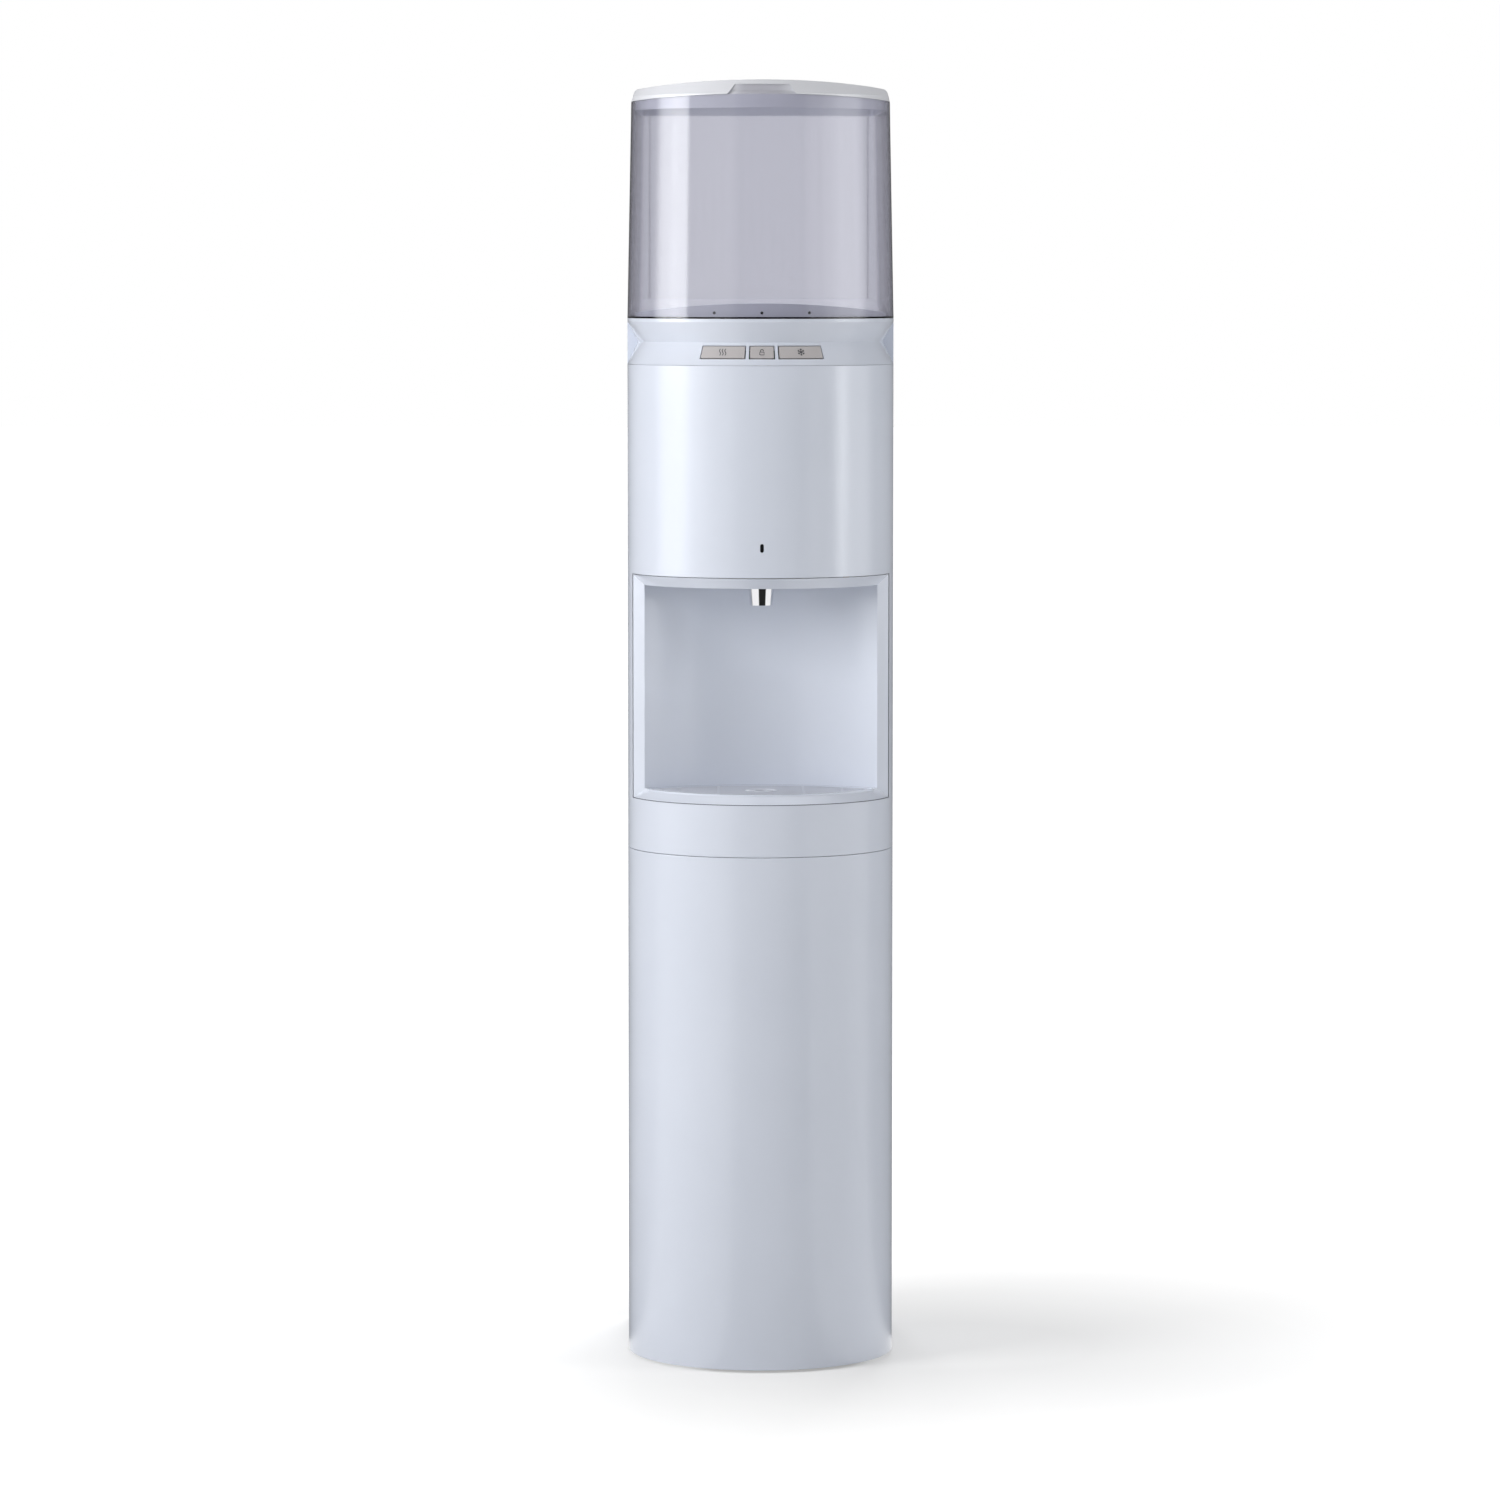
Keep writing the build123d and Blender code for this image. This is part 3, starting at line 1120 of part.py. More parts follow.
with BuildPart() as cover_cap:
    with BuildSketch(Plane.XY.offset(Z_COVER - CROWN)):
        draw_plan(COVER_DRAFT)
    extrude(amount=CROWN + EDGE)
    with BuildSketch(Plane.XY.offset(Z_COVER + EDGE)):
        draw_plan(COVER_DRAFT)
    with BuildSketch(Plane.XY.offset(Z_TOP + EDGE)):
        draw_plan(COVER_DRAFT + CAP_SLOPE)
    loft(ruled=True)
    with BuildSketch(Plane.XZ):
        draw_cap_front(0)
        draw_crown(0, Z_COVER + FIT, mode=Mode.SUBTRACT)
    extrude(amount=DEPTH, both=True, mode=Mode.INTERSECT)
    add(cap_hollow.part, mode=Mode.SUBTRACT)
    with BuildSketch(Plane.XZ.offset(-GRIP_Y)):
        Polygon(
            (GRIP_CEILING / 2, Z_TOP - GRIP_TOP),
            (-GRIP_CEILING / 2, Z_TOP - GRIP_TOP),
            (-GRIP_WIDTH / 2, Z_COVER - CROWN),
            (GRIP_WIDTH / 2, Z_COVER - CROWN),
            align=None,
        )
    extrude(amount=DEPTH, mode=Mode.SUBTRACT)
    with BuildSketch(Plane.XY.offset(Z_COVER - CROWN - PLUG_HEIGHT)):
        draw_plan(COVER_DRAFT + COVER_WALL + FIT)
        draw_plan(COVER_DRAFT + COVER_WALL + FIT + PLUG_WALL, mode=Mode.SUBTRACT)
    extrude(amount=PLUG_HEIGHT + CROWN + CAP_WALL)
cover_cap.part.label = "cover_cap"

# Cold tank with its lid, evaporator coil and foam jacket, on the bottle's axis
Z_LID = Z_COLD + COLD_HEIGHT
COLD_STUB_Y = -(COLD_RADIUS + COIL_ROOM / 2)
with BuildPart() as cold_tank:
    with BuildSketch(Plane.XZ):
        Polygon(
            (0, Z_COLD),
            (COLD_RADIUS, Z_COLD),
            (COLD_RADIUS, Z_LID),
            (COLD_RADIUS - TANK_WALL, Z_LID),
            (COLD_RADIUS - TANK_WALL, Z_COLD + TANK_WALL),
            (0, Z_COLD + TANK_WALL),
            align=None,
        )
    revolve(axis=Axis.Z)
    with BuildSketch(Plane.XZ.offset(-COLD_STUB_Y)):
        with Locations((VALVE_SPREAD, Z_INLET)):
            Circle(OUTLET_RADIUS)
    extrude(amount=COLD_STUB_Y + sqrt(COLD_RADIUS**2 - (VALVE_SPREAD + OUTLET_RADIUS) ** 2))
cold_tank.part.label = "cold_tank"

with BuildPart() as cold_tank_lid:
    with BuildSketch(Plane.XZ):
        Polygon(
            (PROBE_RADIUS - LINER, Z_LID - LID_THICK),
            (COLD_RADIUS - TANK_WALL - FIT, Z_LID - LID_THICK),
            (COLD_RADIUS - TANK_WALL - FIT, Z_LID),
            (COLD_RADIUS, Z_LID),
            (COLD_RADIUS, Z_LID + LINER),
            (PROBE_RADIUS, Z_LID + LINER),
            (PROBE_RADIUS, Z_LID + LID_NECK),
            (PROBE_RADIUS - LINER, Z_LID + LID_NECK),
            align=None,
        )
    revolve(axis=Axis.Z)
cold_tank_lid.part.label = "cold_tank_lid"

Z_COIL = Z_COLD + COIL_RISE
with BuildPart() as evaporator_coil:
    with BuildLine():
        coil_path = Helix(COIL_PITCH, COIL_PITCH * COIL_TURNS, SUCTION_X, center=(0, 0, Z_COIL))
    with BuildSketch(Plane(origin=coil_path @ 0, z_dir=coil_path % 0)):
        RegularPolygon(COIL_RADIUS, TUBE_SIDES)
    sweep(is_frenet=True)
evaporator_coil.part.label = "evaporator_coil"

with BuildPart() as cold_jacket:
    with BuildSketch(Plane.XZ):
        Polygon(
            (0, Z_VALVE),
            (JACKET_RADIUS, Z_VALVE),
            (JACKET_RADIUS, Z_LID),
            (COLD_RADIUS + COIL_ROOM, Z_LID),
            (COLD_RADIUS + COIL_ROOM, Z_COLD),
            (0, Z_COLD),
            align=None,
        )
    revolve(axis=Axis.Z)
    with BuildSketch(Plane.XY.offset(Z_VALVE)):
        with Locations((SUCTION_X, SUCTION_Y)):
            Circle(LINE_RADIUS + PIPE_FIT)
        with Locations((0, HOT_FEED_Y)):
            Circle(OUTLET_RADIUS + PIPE_FIT)
    extrude(amount=JACKET_WALL, mode=Mode.SUBTRACT)
    with BuildSketch(Plane.XZ.offset(COLD_RADIUS / 2)):
        with Locations((VALVE_SPREAD, Z_INLET)):
            Circle(OUTLET_RADIUS + PIPE_FIT)
    extrude(amount=COLD_RADIUS, mode=Mode.SUBTRACT)
    with Locations((0, 0, Z_VALVE)):
        Box(SEAM, 2 * DEPTH, 2 * Z_LID, mode=Mode.SUBTRACT)
cold_jacket.part.label = "cold_jacket"

with BuildPart() as feed_tube:
    with BuildSketch(Plane.XY.offset(Z_LID + LINER + FIT)):
        Circle(PROBE_RADIUS + PRESS_FIT + LINER)
        Circle(PROBE_RADIUS + PRESS_FIT, mode=Mode.SUBTRACT)
    extrude(amount=Z_WELL - Z_LID - 2 * LINER - 2 * FIT)
feed_tube.part.label = "feed_tube"

with BuildPart() as cold_outlet_tube:
    with BuildSketch(Plane.XZ.offset(-COLD_STUB_Y)):
        with Locations((VALVE_SPREAD, Z_INLET)):
            Circle(OUTLET_RADIUS)
            Circle(OUTLET_RADIUS - TANK_WALL, mode=Mode.SUBTRACT)
    extrude(amount=COLD_STUB_Y - COLD_INLET_Y)
cold_outlet_tube.part.label = "cold_outlet_tube"

# Hot tank with its band heater, thermostats and foam jacket, on the mid shelf
Z_HOT_FLOOR = Z_MID_SHELF + SHEET
Z_HOT = Z_HOT_FLOOR + HOT_JACKET_FLOOR
Z_HOT_TOP = Z_HOT + HOT_HEIGHT
Z_HOT_LID = Z_HOT_TOP + HEADROOM
HOT_AXIS = Axis((0, HOT_Y, 0), (0, 0, 1))
HOT_PLANE = Plane.XZ.offset(-HOT_Y)
HOT_OUT = (-HOT_OUT_X, HOT_Y + HOT_OUT_X / 2)
with BuildPart() as hot_tank:
    with BuildSketch(HOT_PLANE):
        with Locations((0, Z_HOT)):
            Rectangle(2 * HOT_RADIUS, HOT_HEIGHT, align=(Align.CENTER, Align.MIN))
        with Locations((0, Z_HOT + TANK_WALL)):
            Rectangle(
                2 * (HOT_RADIUS - TANK_WALL), HOT_HEIGHT - 2 * TANK_WALL,
                align=(Align.CENTER, Align.MIN), mode=Mode.SUBTRACT,
            )
        with Locations((0, Z_HOT)):
            Rectangle(2 * WIDTH, 3 * HOT_HEIGHT, align=(Align.MIN, Align.CENTER), mode=Mode.INTERSECT)
    revolve(axis=HOT_AXIS)
    with BuildSketch(Plane.XY.offset(Z_HOT)):
        with Locations(DRAIN_DROP):
            Circle(OUTLET_RADIUS - TANK_WALL)
    extrude(amount=TANK_WALL, mode=Mode.SUBTRACT)
    with BuildSketch(Plane.XY.offset(Z_HOT_TOP)):
        with Locations((0, HOT_FEED_Y), HOT_OUT):
            Circle(OUTLET_RADIUS - TANK_WALL)
    extrude(amount=-TANK_WALL, mode=Mode.SUBTRACT)
hot_tank.part.label = "hot_tank"

with BuildPart() as band_heater:
    with BuildSketch(Plane.XY.offset(Z_HOT + HEATER_RISE)):
        with Locations((0, HOT_Y)):
            Circle(HOT_RADIUS + FIT + HEATER_THICK)
            Circle(HOT_RADIUS + FIT, mode=Mode.SUBTRACT)
        with Locations((0, HOT_Y + HOT_RADIUS)):
            Rectangle(2 * HEATER_THICK, 4 * HEATER_THICK, mode=Mode.SUBTRACT)
    extrude(amount=HEATER_HEIGHT)
band_heater.part.label = "band_heater"

with BuildPart() as hot_thermostats:
    with BuildSketch(Plane.XY.offset(Z_HOT_TOP)):
        with Locations((HOT_OUT_X, HOT_Y)):
            with GridLocations(0, THERMOSTAT_SPREAD, 1, 2):
                Circle(THERMOSTAT_RADIUS)
    extrude(amount=THERMOSTAT_HEIGHT)
hot_thermostats.part.label = "hot_thermostats"

HOT_JACKET_RADIUS = HOT_RADIUS + HOT_ROOM + HOT_JACKET_WALL
with BuildPart() as hot_jacket:
    with BuildSketch(HOT_PLANE):
        Polygon(
            (0, Z_HOT_FLOOR),
            (HOT_JACKET_RADIUS, Z_HOT_FLOOR),
            (HOT_JACKET_RADIUS, Z_HOT_LID + HOT_JACKET_WALL),
            (0, Z_HOT_LID + HOT_JACKET_WALL),
            (0, Z_HOT_LID),
            (HOT_RADIUS + HOT_ROOM, Z_HOT_LID),
            (HOT_RADIUS + HOT_ROOM, Z_HOT),
            (0, Z_HOT),
            align=None,
        )
    revolve(axis=HOT_AXIS)
    with BuildSketch(Plane.XY.offset(Z_HOT_FLOOR)):
        with Locations(DRAIN_DROP):
            Circle(OUTLET_RADIUS + PIPE_FIT)
    extrude(amount=HOT_JACKET_FLOOR, mode=Mode.SUBTRACT)
    with BuildSketch(Plane.XY.offset(Z_HOT_LID)):
        with Locations((0, HOT_FEED_Y), HOT_OUT):
            Circle(OUTLET_RADIUS + PIPE_FIT)
    extrude(amount=HOT_JACKET_WALL, mode=Mode.SUBTRACT)
    with Locations((0, HOT_Y, Z_HOT)):
        Box(SEAM, 2 * DEPTH, 2 * Z_HOT, mode=Mode.SUBTRACT)
hot_jacket.part.label = "hot_jacket"

# Water pipes between the tanks, the valves and the drain
with BuildPart() as hot_feed_tube:
    with BuildSketch(Plane.XY.offset(Z_HOT_TOP)):
        with Locations((0, HOT_FEED_Y)):
            Circle(OUTLET_RADIUS)
            Circle(OUTLET_RADIUS - TANK_WALL, mode=Mode.SUBTRACT)
    extrude(amount=Z_COLD - Z_HOT_TOP)
hot_feed_tube.part.label = "hot_feed_tube"

Z_HOT_BEND = (Z_HOT_LID + HOT_JACKET_WALL + Z_CEILING) / 2
HOSE_TURN_RADIUS = INNER_RADIUS - RIB_HEIGHT - 2 * OUTLET_RADIUS
HOSE_TURN_X = -HOSE_TURN_RADIUS * sin(radians(HOSE_TURN_ANGLE))
HOSE_TURN_Y = ARC_Y - HOSE_TURN_RADIUS * cos(radians(HOSE_TURN_ANGLE))
with BuildPart() as hot_outlet_tube:
    sweep_tube(
        [
            (*HOT_OUT, Z_HOT_TOP),
            (*HOT_OUT, Z_HOT_BEND),
            (*HOT_RISER, Z_HOT_BEND),
            (*HOT_RISER, Z_INLET),
            (HOT_RISER[0], ARC_Y, Z_INLET),
            (HOSE_TURN_X, HOSE_TURN_Y, Z_INLET),
            (HOT_INLET_X - STUB_LENGTH - OUTLET_RADIUS, VALVE_Y, Z_INLET),
            (HOT_INLET_X, VALVE_Y, Z_INLET),
        ],
        HOSE_BEND,
        OUTLET_RADIUS,
    )
hot_outlet_tube.part.label = "hot_outlet_tube"

# Service recess: drain stub with its screw cap, and the mains inlet gland
RECESS_Y = BACK_Y - RECESS_DEPTH
DRAIN_INNER_Y = RECESS_Y - LINER - STUB_LENGTH
DRAIN_PLANE = Plane(origin=(-SERVICE_SPREAD, DRAIN_INNER_Y, RECESS_RISE), z_dir=(0, 1, 0))
DRAIN_END = RECESS_Y + DRAIN_LENGTH - DRAIN_INNER_Y
with BuildPart() as drain_outlet:
    with BuildSketch(DRAIN_PLANE):
        Circle(DRAIN_RADIUS)
        Circle(DRAIN_BORE, mode=Mode.SUBTRACT)
    extrude(amount=DRAIN_END)
    with BuildSketch(DRAIN_PLANE.offset(STUB_LENGTH - LINER)):
        Circle(DRAIN_FLANGE)
        Circle(DRAIN_RADIUS - FIT, mode=Mode.SUBTRACT)
    extrude(amount=LINER)
drain_outlet.part.label = "drain_outlet"

CAP_START = DRAIN_END - DRAIN_LENGTH + RUN
with BuildPart() as drain_cap:
    with BuildSketch(DRAIN_PLANE.offset(CAP_START)):
        Circle(DRAIN_CAP_RADIUS)
        with PolarLocations(DRAIN_CAP_RADIUS, DRAIN_CAP_FLUTES):
            Circle(FLUTE_RADIUS, mode=Mode.SUBTRACT)
    extrude(amount=DRAIN_LENGTH + LINER)
    with BuildSketch(DRAIN_PLANE.offset(CAP_START)):
        Circle(DRAIN_RADIUS + PRESS_FIT)
    extrude(amount=DRAIN_LENGTH - RUN + FIT, mode=Mode.SUBTRACT)
drain_cap.part.label = "drain_cap"

with BuildPart() as drain_hose:
    sweep_tube(
        [
            (*DRAIN_DROP, Z_HOT),
            (*DRAIN_DROP, Z_MID_SHELF - DRAIN_FIRST_DROP),
            (*DRAIN_RUN, Z_MID_SHELF - DRAIN_SECOND_DROP),
            (*DRAIN_RUN, RECESS_RISE + DRAIN_FOOT_RISE),
            (-SERVICE_SPREAD, DRAIN_INNER_Y - DRAIN_TAIL, RECESS_RISE),
            (-SERVICE_SPREAD, DRAIN_INNER_Y, RECESS_RISE),
        ],
        DRAIN_BEND,
        OUTLET_RADIUS,
    )
drain_hose.part.label = "drain_hose"

GLAND_PLANE = Plane(origin=(SERVICE_SPREAD, RECESS_Y - LINER, RECESS_RISE), z_dir=(0, 1, 0))
with BuildPart() as inlet_gland:
    with BuildSketch(GLAND_PLANE.offset(-WALL)):
        Circle(GLAND_RADIUS)
    extrude(amount=WALL + LINER + GLAND_LENGTH)
    chamfer(inlet_gland.faces().sort_by(Axis.Y)[-1].edges(), LINER)
    with BuildSketch(GLAND_PLANE.offset(LINER)):
        RegularPolygon(GLAND_FLANGE, 6)
    extrude(amount=GLAND_LENGTH / 2)
    with BuildSketch(GLAND_PLANE):
        RegularPolygon(GLAND_FLANGE, 6)
    extrude(amount=-WALL)
    with BuildSketch(GLAND_PLANE.offset(-WALL)):
        Circle(GLAND_BORE)
    extrude(amount=2 * GLAND_LENGTH, mode=Mode.SUBTRACT)
inlet_gland.part.label = "inlet_gland"

# Compressor on rubber grommets
Z_MOUNT = Z_BASE + GROMMET_HEIGHT
COMPRESSOR_PLANE = Plane.XZ.offset(-COMPRESSOR_Y)
Z_COMPRESSOR_TOP = Z_MOUNT + COMPRESSOR_HEIGHT
Z_SUCTION = Z_MOUNT + SUCTION_RISE
Z_DISCHARGE = Z_MOUNT + DISCHARGE_RISE
COMPRESSOR_SIDE = COMPRESSOR_RADIUS + STUB_LENGTH
with BuildPart() as compressor:
    with BuildSketch(COMPRESSOR_PLANE) as compressor_section:
        with Locations((0, Z_MOUNT)):
            Rectangle(COMPRESSOR_RADIUS, COMPRESSOR_HEIGHT, align=(Align.MIN, Align.MIN))
        fillet(compressor_section.vertices().group_by(Axis.X)[-1], COMPRESSOR_DOME)
        with Locations((0, (Z_MOUNT + Z_COMPRESSOR_TOP) / 2)):
            Rectangle(COMPRESSOR_RADIUS + WELD_LIP, 2 * WELD_LIP, align=(Align.MIN, Align.CENTER))
    revolve(axis=Axis((0, COMPRESSOR_Y, 0), (0, 0, 1)))
    with BuildSketch(Plane.XY.offset(Z_MOUNT)):
        with Locations((0, COMPRESSOR_Y)):
            RectangleRounded(
                GROMMET_SPREAD_X + 2 * GROMMET_RADIUS, GROMMET_SPREAD_Y + 2 * GROMMET_RADIUS, GROMMET_RADIUS
            )
    extrude(amount=MOUNT_PLATE)
    with BuildSketch(Plane.YZ.offset(COMPRESSOR_SIDE)):
        with Locations((COMPRESSOR_Y, Z_SUCTION)):
            Circle(LINE_RADIUS)
    extrude(amount=-COMPRESSOR_RADIUS)
    with BuildSketch(Plane.YZ.offset(-COMPRESSOR_SIDE)):
        with Locations((COMPRESSOR_Y, Z_DISCHARGE)):
            Circle(CONDENSER_RADIUS)
    extrude(amount=COMPRESSOR_RADIUS)
compressor.part.label = "compressor"

with BuildPart() as compressor_grommets:
    with BuildSketch(Plane.XY.offset(Z_BASE)):
        with Locations((0, COMPRESSOR_Y)):
            with GridLocations(GROMMET_SPREAD_X, GROMMET_SPREAD_Y, 2, 2):
                Circle(GROMMET_RADIUS)
                Circle(LINE_RADIUS, mode=Mode.SUBTRACT)
    extrude(amount=GROMMET_HEIGHT)
compressor_grommets.part.label = "compressor_grommets"

RELAY_Y = COMPRESSOR_Y - COMPRESSOR_RADIUS - WELD_LIP - FIT
with BuildPart() as relay_box:
    with BuildSketch(Plane.XZ.offset(-RELAY_Y)):
        with Locations((0, (Z_MOUNT + Z_COMPRESSOR_TOP) / 2)):
            RectangleRounded(COMPRESSOR_RADIUS, COMPRESSOR_RADIUS, LINER)
    extrude(amount=COMPRESSOR_RADIUS / 2)
    fillet(relay_box.faces().sort_by(Axis.Y)[0].edges(), LINER - EDGE)
relay_box.part.label = "relay_box"

# Condenser on the rear wall: one bent tube with wires across it
CONDENSER_Y = BACK_Y - WALL - 2 * FIT - SHEET - CONDENSER_RADIUS
CONDENSER_TOP = CONDENSER_BOTTOM + CONDENSER_PITCH * (CONDENSER_PASSES - 1)
PORT_X = (WIRE_COUNT / 2 - 1) * WIRE_PITCH
PORT_Y = CONDENSER_Y - PORT_LENGTH
CONDENSER_POINTS = [(-PORT_X, PORT_Y, CONDENSER_TOP), (-PORT_X, CONDENSER_Y, CONDENSER_TOP)]
for condenser_pass in range(CONDENSER_PASSES - 1):
    turn_x = CONDENSER_HALF if condenser_pass % 2 == 0 else -CONDENSER_HALF
    pass_z = CONDENSER_TOP - condenser_pass * CONDENSER_PITCH
    CONDENSER_POINTS += [(turn_x, CONDENSER_Y, pass_z), (turn_x, CONDENSER_Y, pass_z - CONDENSER_PITCH)]
CONDENSER_POINTS += [(PORT_X, CONDENSER_Y, CONDENSER_BOTTOM), (PORT_X, PORT_Y, CONDENSER_BOTTOM)]
RETURN_BEND = CONDENSER_PITCH / 2 - EDGE
CONDENSER_BENDS = [LINE_BEND] + [RETURN_BEND] * (len(CONDENSER_POINTS) - 4) + [LINE_BEND]
with BuildPart() as condenser_tube:
    sweep_tube(CONDENSER_POINTS, CONDENSER_BENDS, CONDENSER_RADIUS)
condenser_tube.part.label = "condenser_tube"

WIRE_Y = CONDENSER_Y - CONDENSER_RADIUS - WIRE_RADIUS - PRESS_FIT
with BuildPart() as condenser_wires:
    with BuildSketch(Plane.XY.offset(CONDENSER_BOTTOM - CONDENSER_PITCH / 2)):
        with Locations((0, WIRE_Y)):
            with GridLocations(WIRE_PITCH, 0, WIRE_COUNT, 1):
                Circle(WIRE_RADIUS)
    extrude(amount=CONDENSER_TOP - CONDENSER_BOTTOM + CONDENSER_PITCH)
condenser_wires.part.label = "condenser_wires"

with BuildPart() as filter_drier:
    with BuildSketch(Plane.XY.offset(CONDENSER_BOTTOM)):
        Polygon(
            (PORT_X, PORT_Y),
            (PORT_X + CONDENSER_RADIUS, PORT_Y),
            (PORT_X + DRIER_RADIUS, PORT_Y - DRIER_RADIUS),
            (PORT_X + DRIER_RADIUS, PORT_Y - DRIER_LENGTH + DRIER_RADIUS),
            (PORT_X + CONDENSER_RADIUS, PORT_Y - DRIER_LENGTH),
            (PORT_X, PORT_Y - DRIER_LENGTH),
            align=None,
        )
    revolve(axis=Axis((PORT_X, 0, CONDENSER_BOTTOM), (0, 1, 0)))
filter_drier.part.label = "filter_drier"

# Refrigerant pipes
with BuildPart() as discharge_line:
    sweep_tube(
        [
            (-COMPRESSOR_SIDE, COMPRESSOR_Y, Z_DISCHARGE),
            (-PORT_X, COMPRESSOR_Y, Z_DISCHARGE),
            (-PORT_X, COMPRESSOR_Y, CONDENSER_TOP),
            (-PORT_X, PORT_Y, CONDENSER_TOP),
        ],
        LINE_BEND,
        CONDENSER_RADIUS,
    )
discharge_line.part.label = "discharge_line"

with BuildPart() as suction_line:
    sweep_tube(
        [
            (SUCTION_X, -FIT, Z_COIL),
            (SUCTION_X, SUCTION_Y, Z_COIL),
            (SUCTION_X, SUCTION_Y, Z_SUCTION),
            (SUCTION_X, COMPRESSOR_Y, Z_SUCTION),
            (COMPRESSOR_SIDE, COMPRESSOR_Y, Z_SUCTION),
        ],
        LINE_BEND,
        LINE_RADIUS,
    )
suction_line.part.label = "suction_line"

# Control box on the rear wall with the main board inside
BOX_PLANE = BACK_PLANE.offset(WALL + FIT)
Z_BOX = Z_SEAM + BOX_RISE
with BuildPart() as control_box:
    with BuildSketch(BOX_PLANE):
        with Locations((0, Z_BOX)):
            RectangleRounded(BOX_WIDTH, BOX_HEIGHT, RECESS_CORNER)
    extrude(amount=BOX_DEPTH)
    with BuildSketch(BOX_PLANE.offset(BOX_WALL)):
        with Locations((0, Z_BOX)):
            RectangleRounded(BOX_WIDTH - 2 * BOX_WALL, BOX_HEIGHT - 2 * BOX_WALL, RECESS_CORNER - BOX_WALL)
    extrude(amount=BOX_DEPTH, mode=Mode.SUBTRACT)
    with BuildSketch(BOX_PLANE.offset(BOX_WALL)):
        with Locations((0, Z_BOX)):
            with GridLocations(BOX_WIDTH - 2 * STANDOFF_INSET, BOX_HEIGHT - 2 * STANDOFF_INSET, 2, 2):
                Circle(LINE_RADIUS)
    extrude(amount=BOARD_STANDOFF)
control_box.part.label = "control_box"

with BuildPart() as main_board:
    with BuildSketch(BOX_PLANE.offset(BOX_WALL + BOARD_STANDOFF)):
        with Locations((0, Z_BOX)):
            Rectangle(BOX_WIDTH - 4 * BOX_WALL, BOX_HEIGHT - 4 * BOX_WALL)
    extrude(amount=BOARD_THICK)
    with BuildSketch(BOX_PLANE.offset(BOX_WALL + BOARD_STANDOFF + BOARD_THICK)):
        with Locations((-BOX_WIDTH / 4, Z_BOX)):
            Rectangle(4 * CHIP_HEIGHT, 3 * CHIP_HEIGHT)
        with Locations((BOX_WIDTH / 5, Z_BOX)):
            with GridLocations(0, 3 * CHIP_HEIGHT, 1, 3):
                Rectangle(2 * CHIP_HEIGHT, 2 * CHIP_HEIGHT)
    extrude(amount=CHIP_HEIGHT)
main_board.part.label = "main_board"

PIECES = [
    rubber_feet, base_pan, lower_front_casing, lower_rear_casing, upper_front_casing, upper_rear_casing,
    frame_uprights, casing_screws, mid_shelf, tank_shelf, alcove_canopy, tray_seat, alcove_wall, drip_tray,
    drip_grille, spout_nozzle, spout_manifold, cold_valve, hot_valve, sensor_lens, control_neck, button_hot,
    button_unlock, button_cold, button_board, button_switches, bottle_deck, indicator_lenses, bottle_receiver,
    bottle_probe, probe_seal, bottle_cover, cover_cap, cold_tank, cold_tank_lid, evaporator_coil, cold_jacket,
    feed_tube, cold_outlet_tube, hot_tank, band_heater, hot_thermostats, hot_jacket, hot_feed_tube,
    hot_outlet_tube, drain_outlet, drain_cap, drain_hose, inlet_gland, compressor, compressor_grommets,
    relay_box, condenser_tube, condenser_wires, filter_drier, discharge_line, suction_line, control_box,
    main_board,
]
os.makedirs("parts", exist_ok=True)
for piece in PIECES:
    export_step(piece.part, f"parts/{piece.part.label}.step")
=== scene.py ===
import json
import math

import bpy
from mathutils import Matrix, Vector


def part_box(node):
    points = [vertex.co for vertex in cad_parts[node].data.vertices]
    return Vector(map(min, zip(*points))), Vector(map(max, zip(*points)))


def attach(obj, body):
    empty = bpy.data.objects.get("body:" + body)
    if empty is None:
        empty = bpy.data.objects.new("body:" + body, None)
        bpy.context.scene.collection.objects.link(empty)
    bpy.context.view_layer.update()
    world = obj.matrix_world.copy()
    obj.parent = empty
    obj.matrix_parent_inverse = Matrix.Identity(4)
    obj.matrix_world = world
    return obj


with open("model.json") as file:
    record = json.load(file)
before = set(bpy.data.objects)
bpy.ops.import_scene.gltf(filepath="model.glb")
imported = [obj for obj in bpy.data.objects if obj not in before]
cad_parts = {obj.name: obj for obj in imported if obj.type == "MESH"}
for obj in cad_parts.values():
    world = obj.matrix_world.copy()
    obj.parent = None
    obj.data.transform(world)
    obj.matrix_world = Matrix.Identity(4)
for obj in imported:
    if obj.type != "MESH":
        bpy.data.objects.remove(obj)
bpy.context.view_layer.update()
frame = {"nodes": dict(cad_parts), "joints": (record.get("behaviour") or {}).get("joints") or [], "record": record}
nodes = frame["nodes"]

# Camera, worked out from the photograph: a long lens a little above the buttons
PHOTO_SIZE = 1500
FOCAL_PIXELS = 6009.0
SENSOR = 36.0
CAMERA_PLACE = (-0.073, -6.6016, 1.1844)
CAMERA_PITCH = math.radians(4.529)
CAMERA_YAW = math.radians(-0.537)
CAMERA_FAR = 100.0

# Colours of the finishes, some of them painted light and shade
SHELL_COLOUR = (0.70, 0.74, 0.83)
# Painted light and shade on the deck: lighter than the shell where it faces up, darker on its upright faces
DECK_LIT_COLOUR = (0.96, 0.965, 0.97)
FASCIA_SHADE_COLOUR = (0.60, 0.61, 0.66)
CAP_COLOUR = (0.76, 0.77, 0.81)
# Painted shade on the walls of the cap's finger recess
RECESS_SHADE_COLOUR = (0.54, 0.54, 0.59)
BUTTON_COLOUR = (0.50, 0.475, 0.475)
HUB_COLOUR = (0.76, 0.78, 0.84)
# Painted shade of the slots: the grille takes this grey wherever it lies below its top face
SLAT_SHADE_COLOUR = (0.56, 0.58, 0.64)
# Painted shade: a dark line along the lower edge of the tray's lip
LIP_SHADE_COLOUR = (0.16, 0.17, 0.20)
SYMBOL_COLOUR = (0.05, 0.05, 0.06)

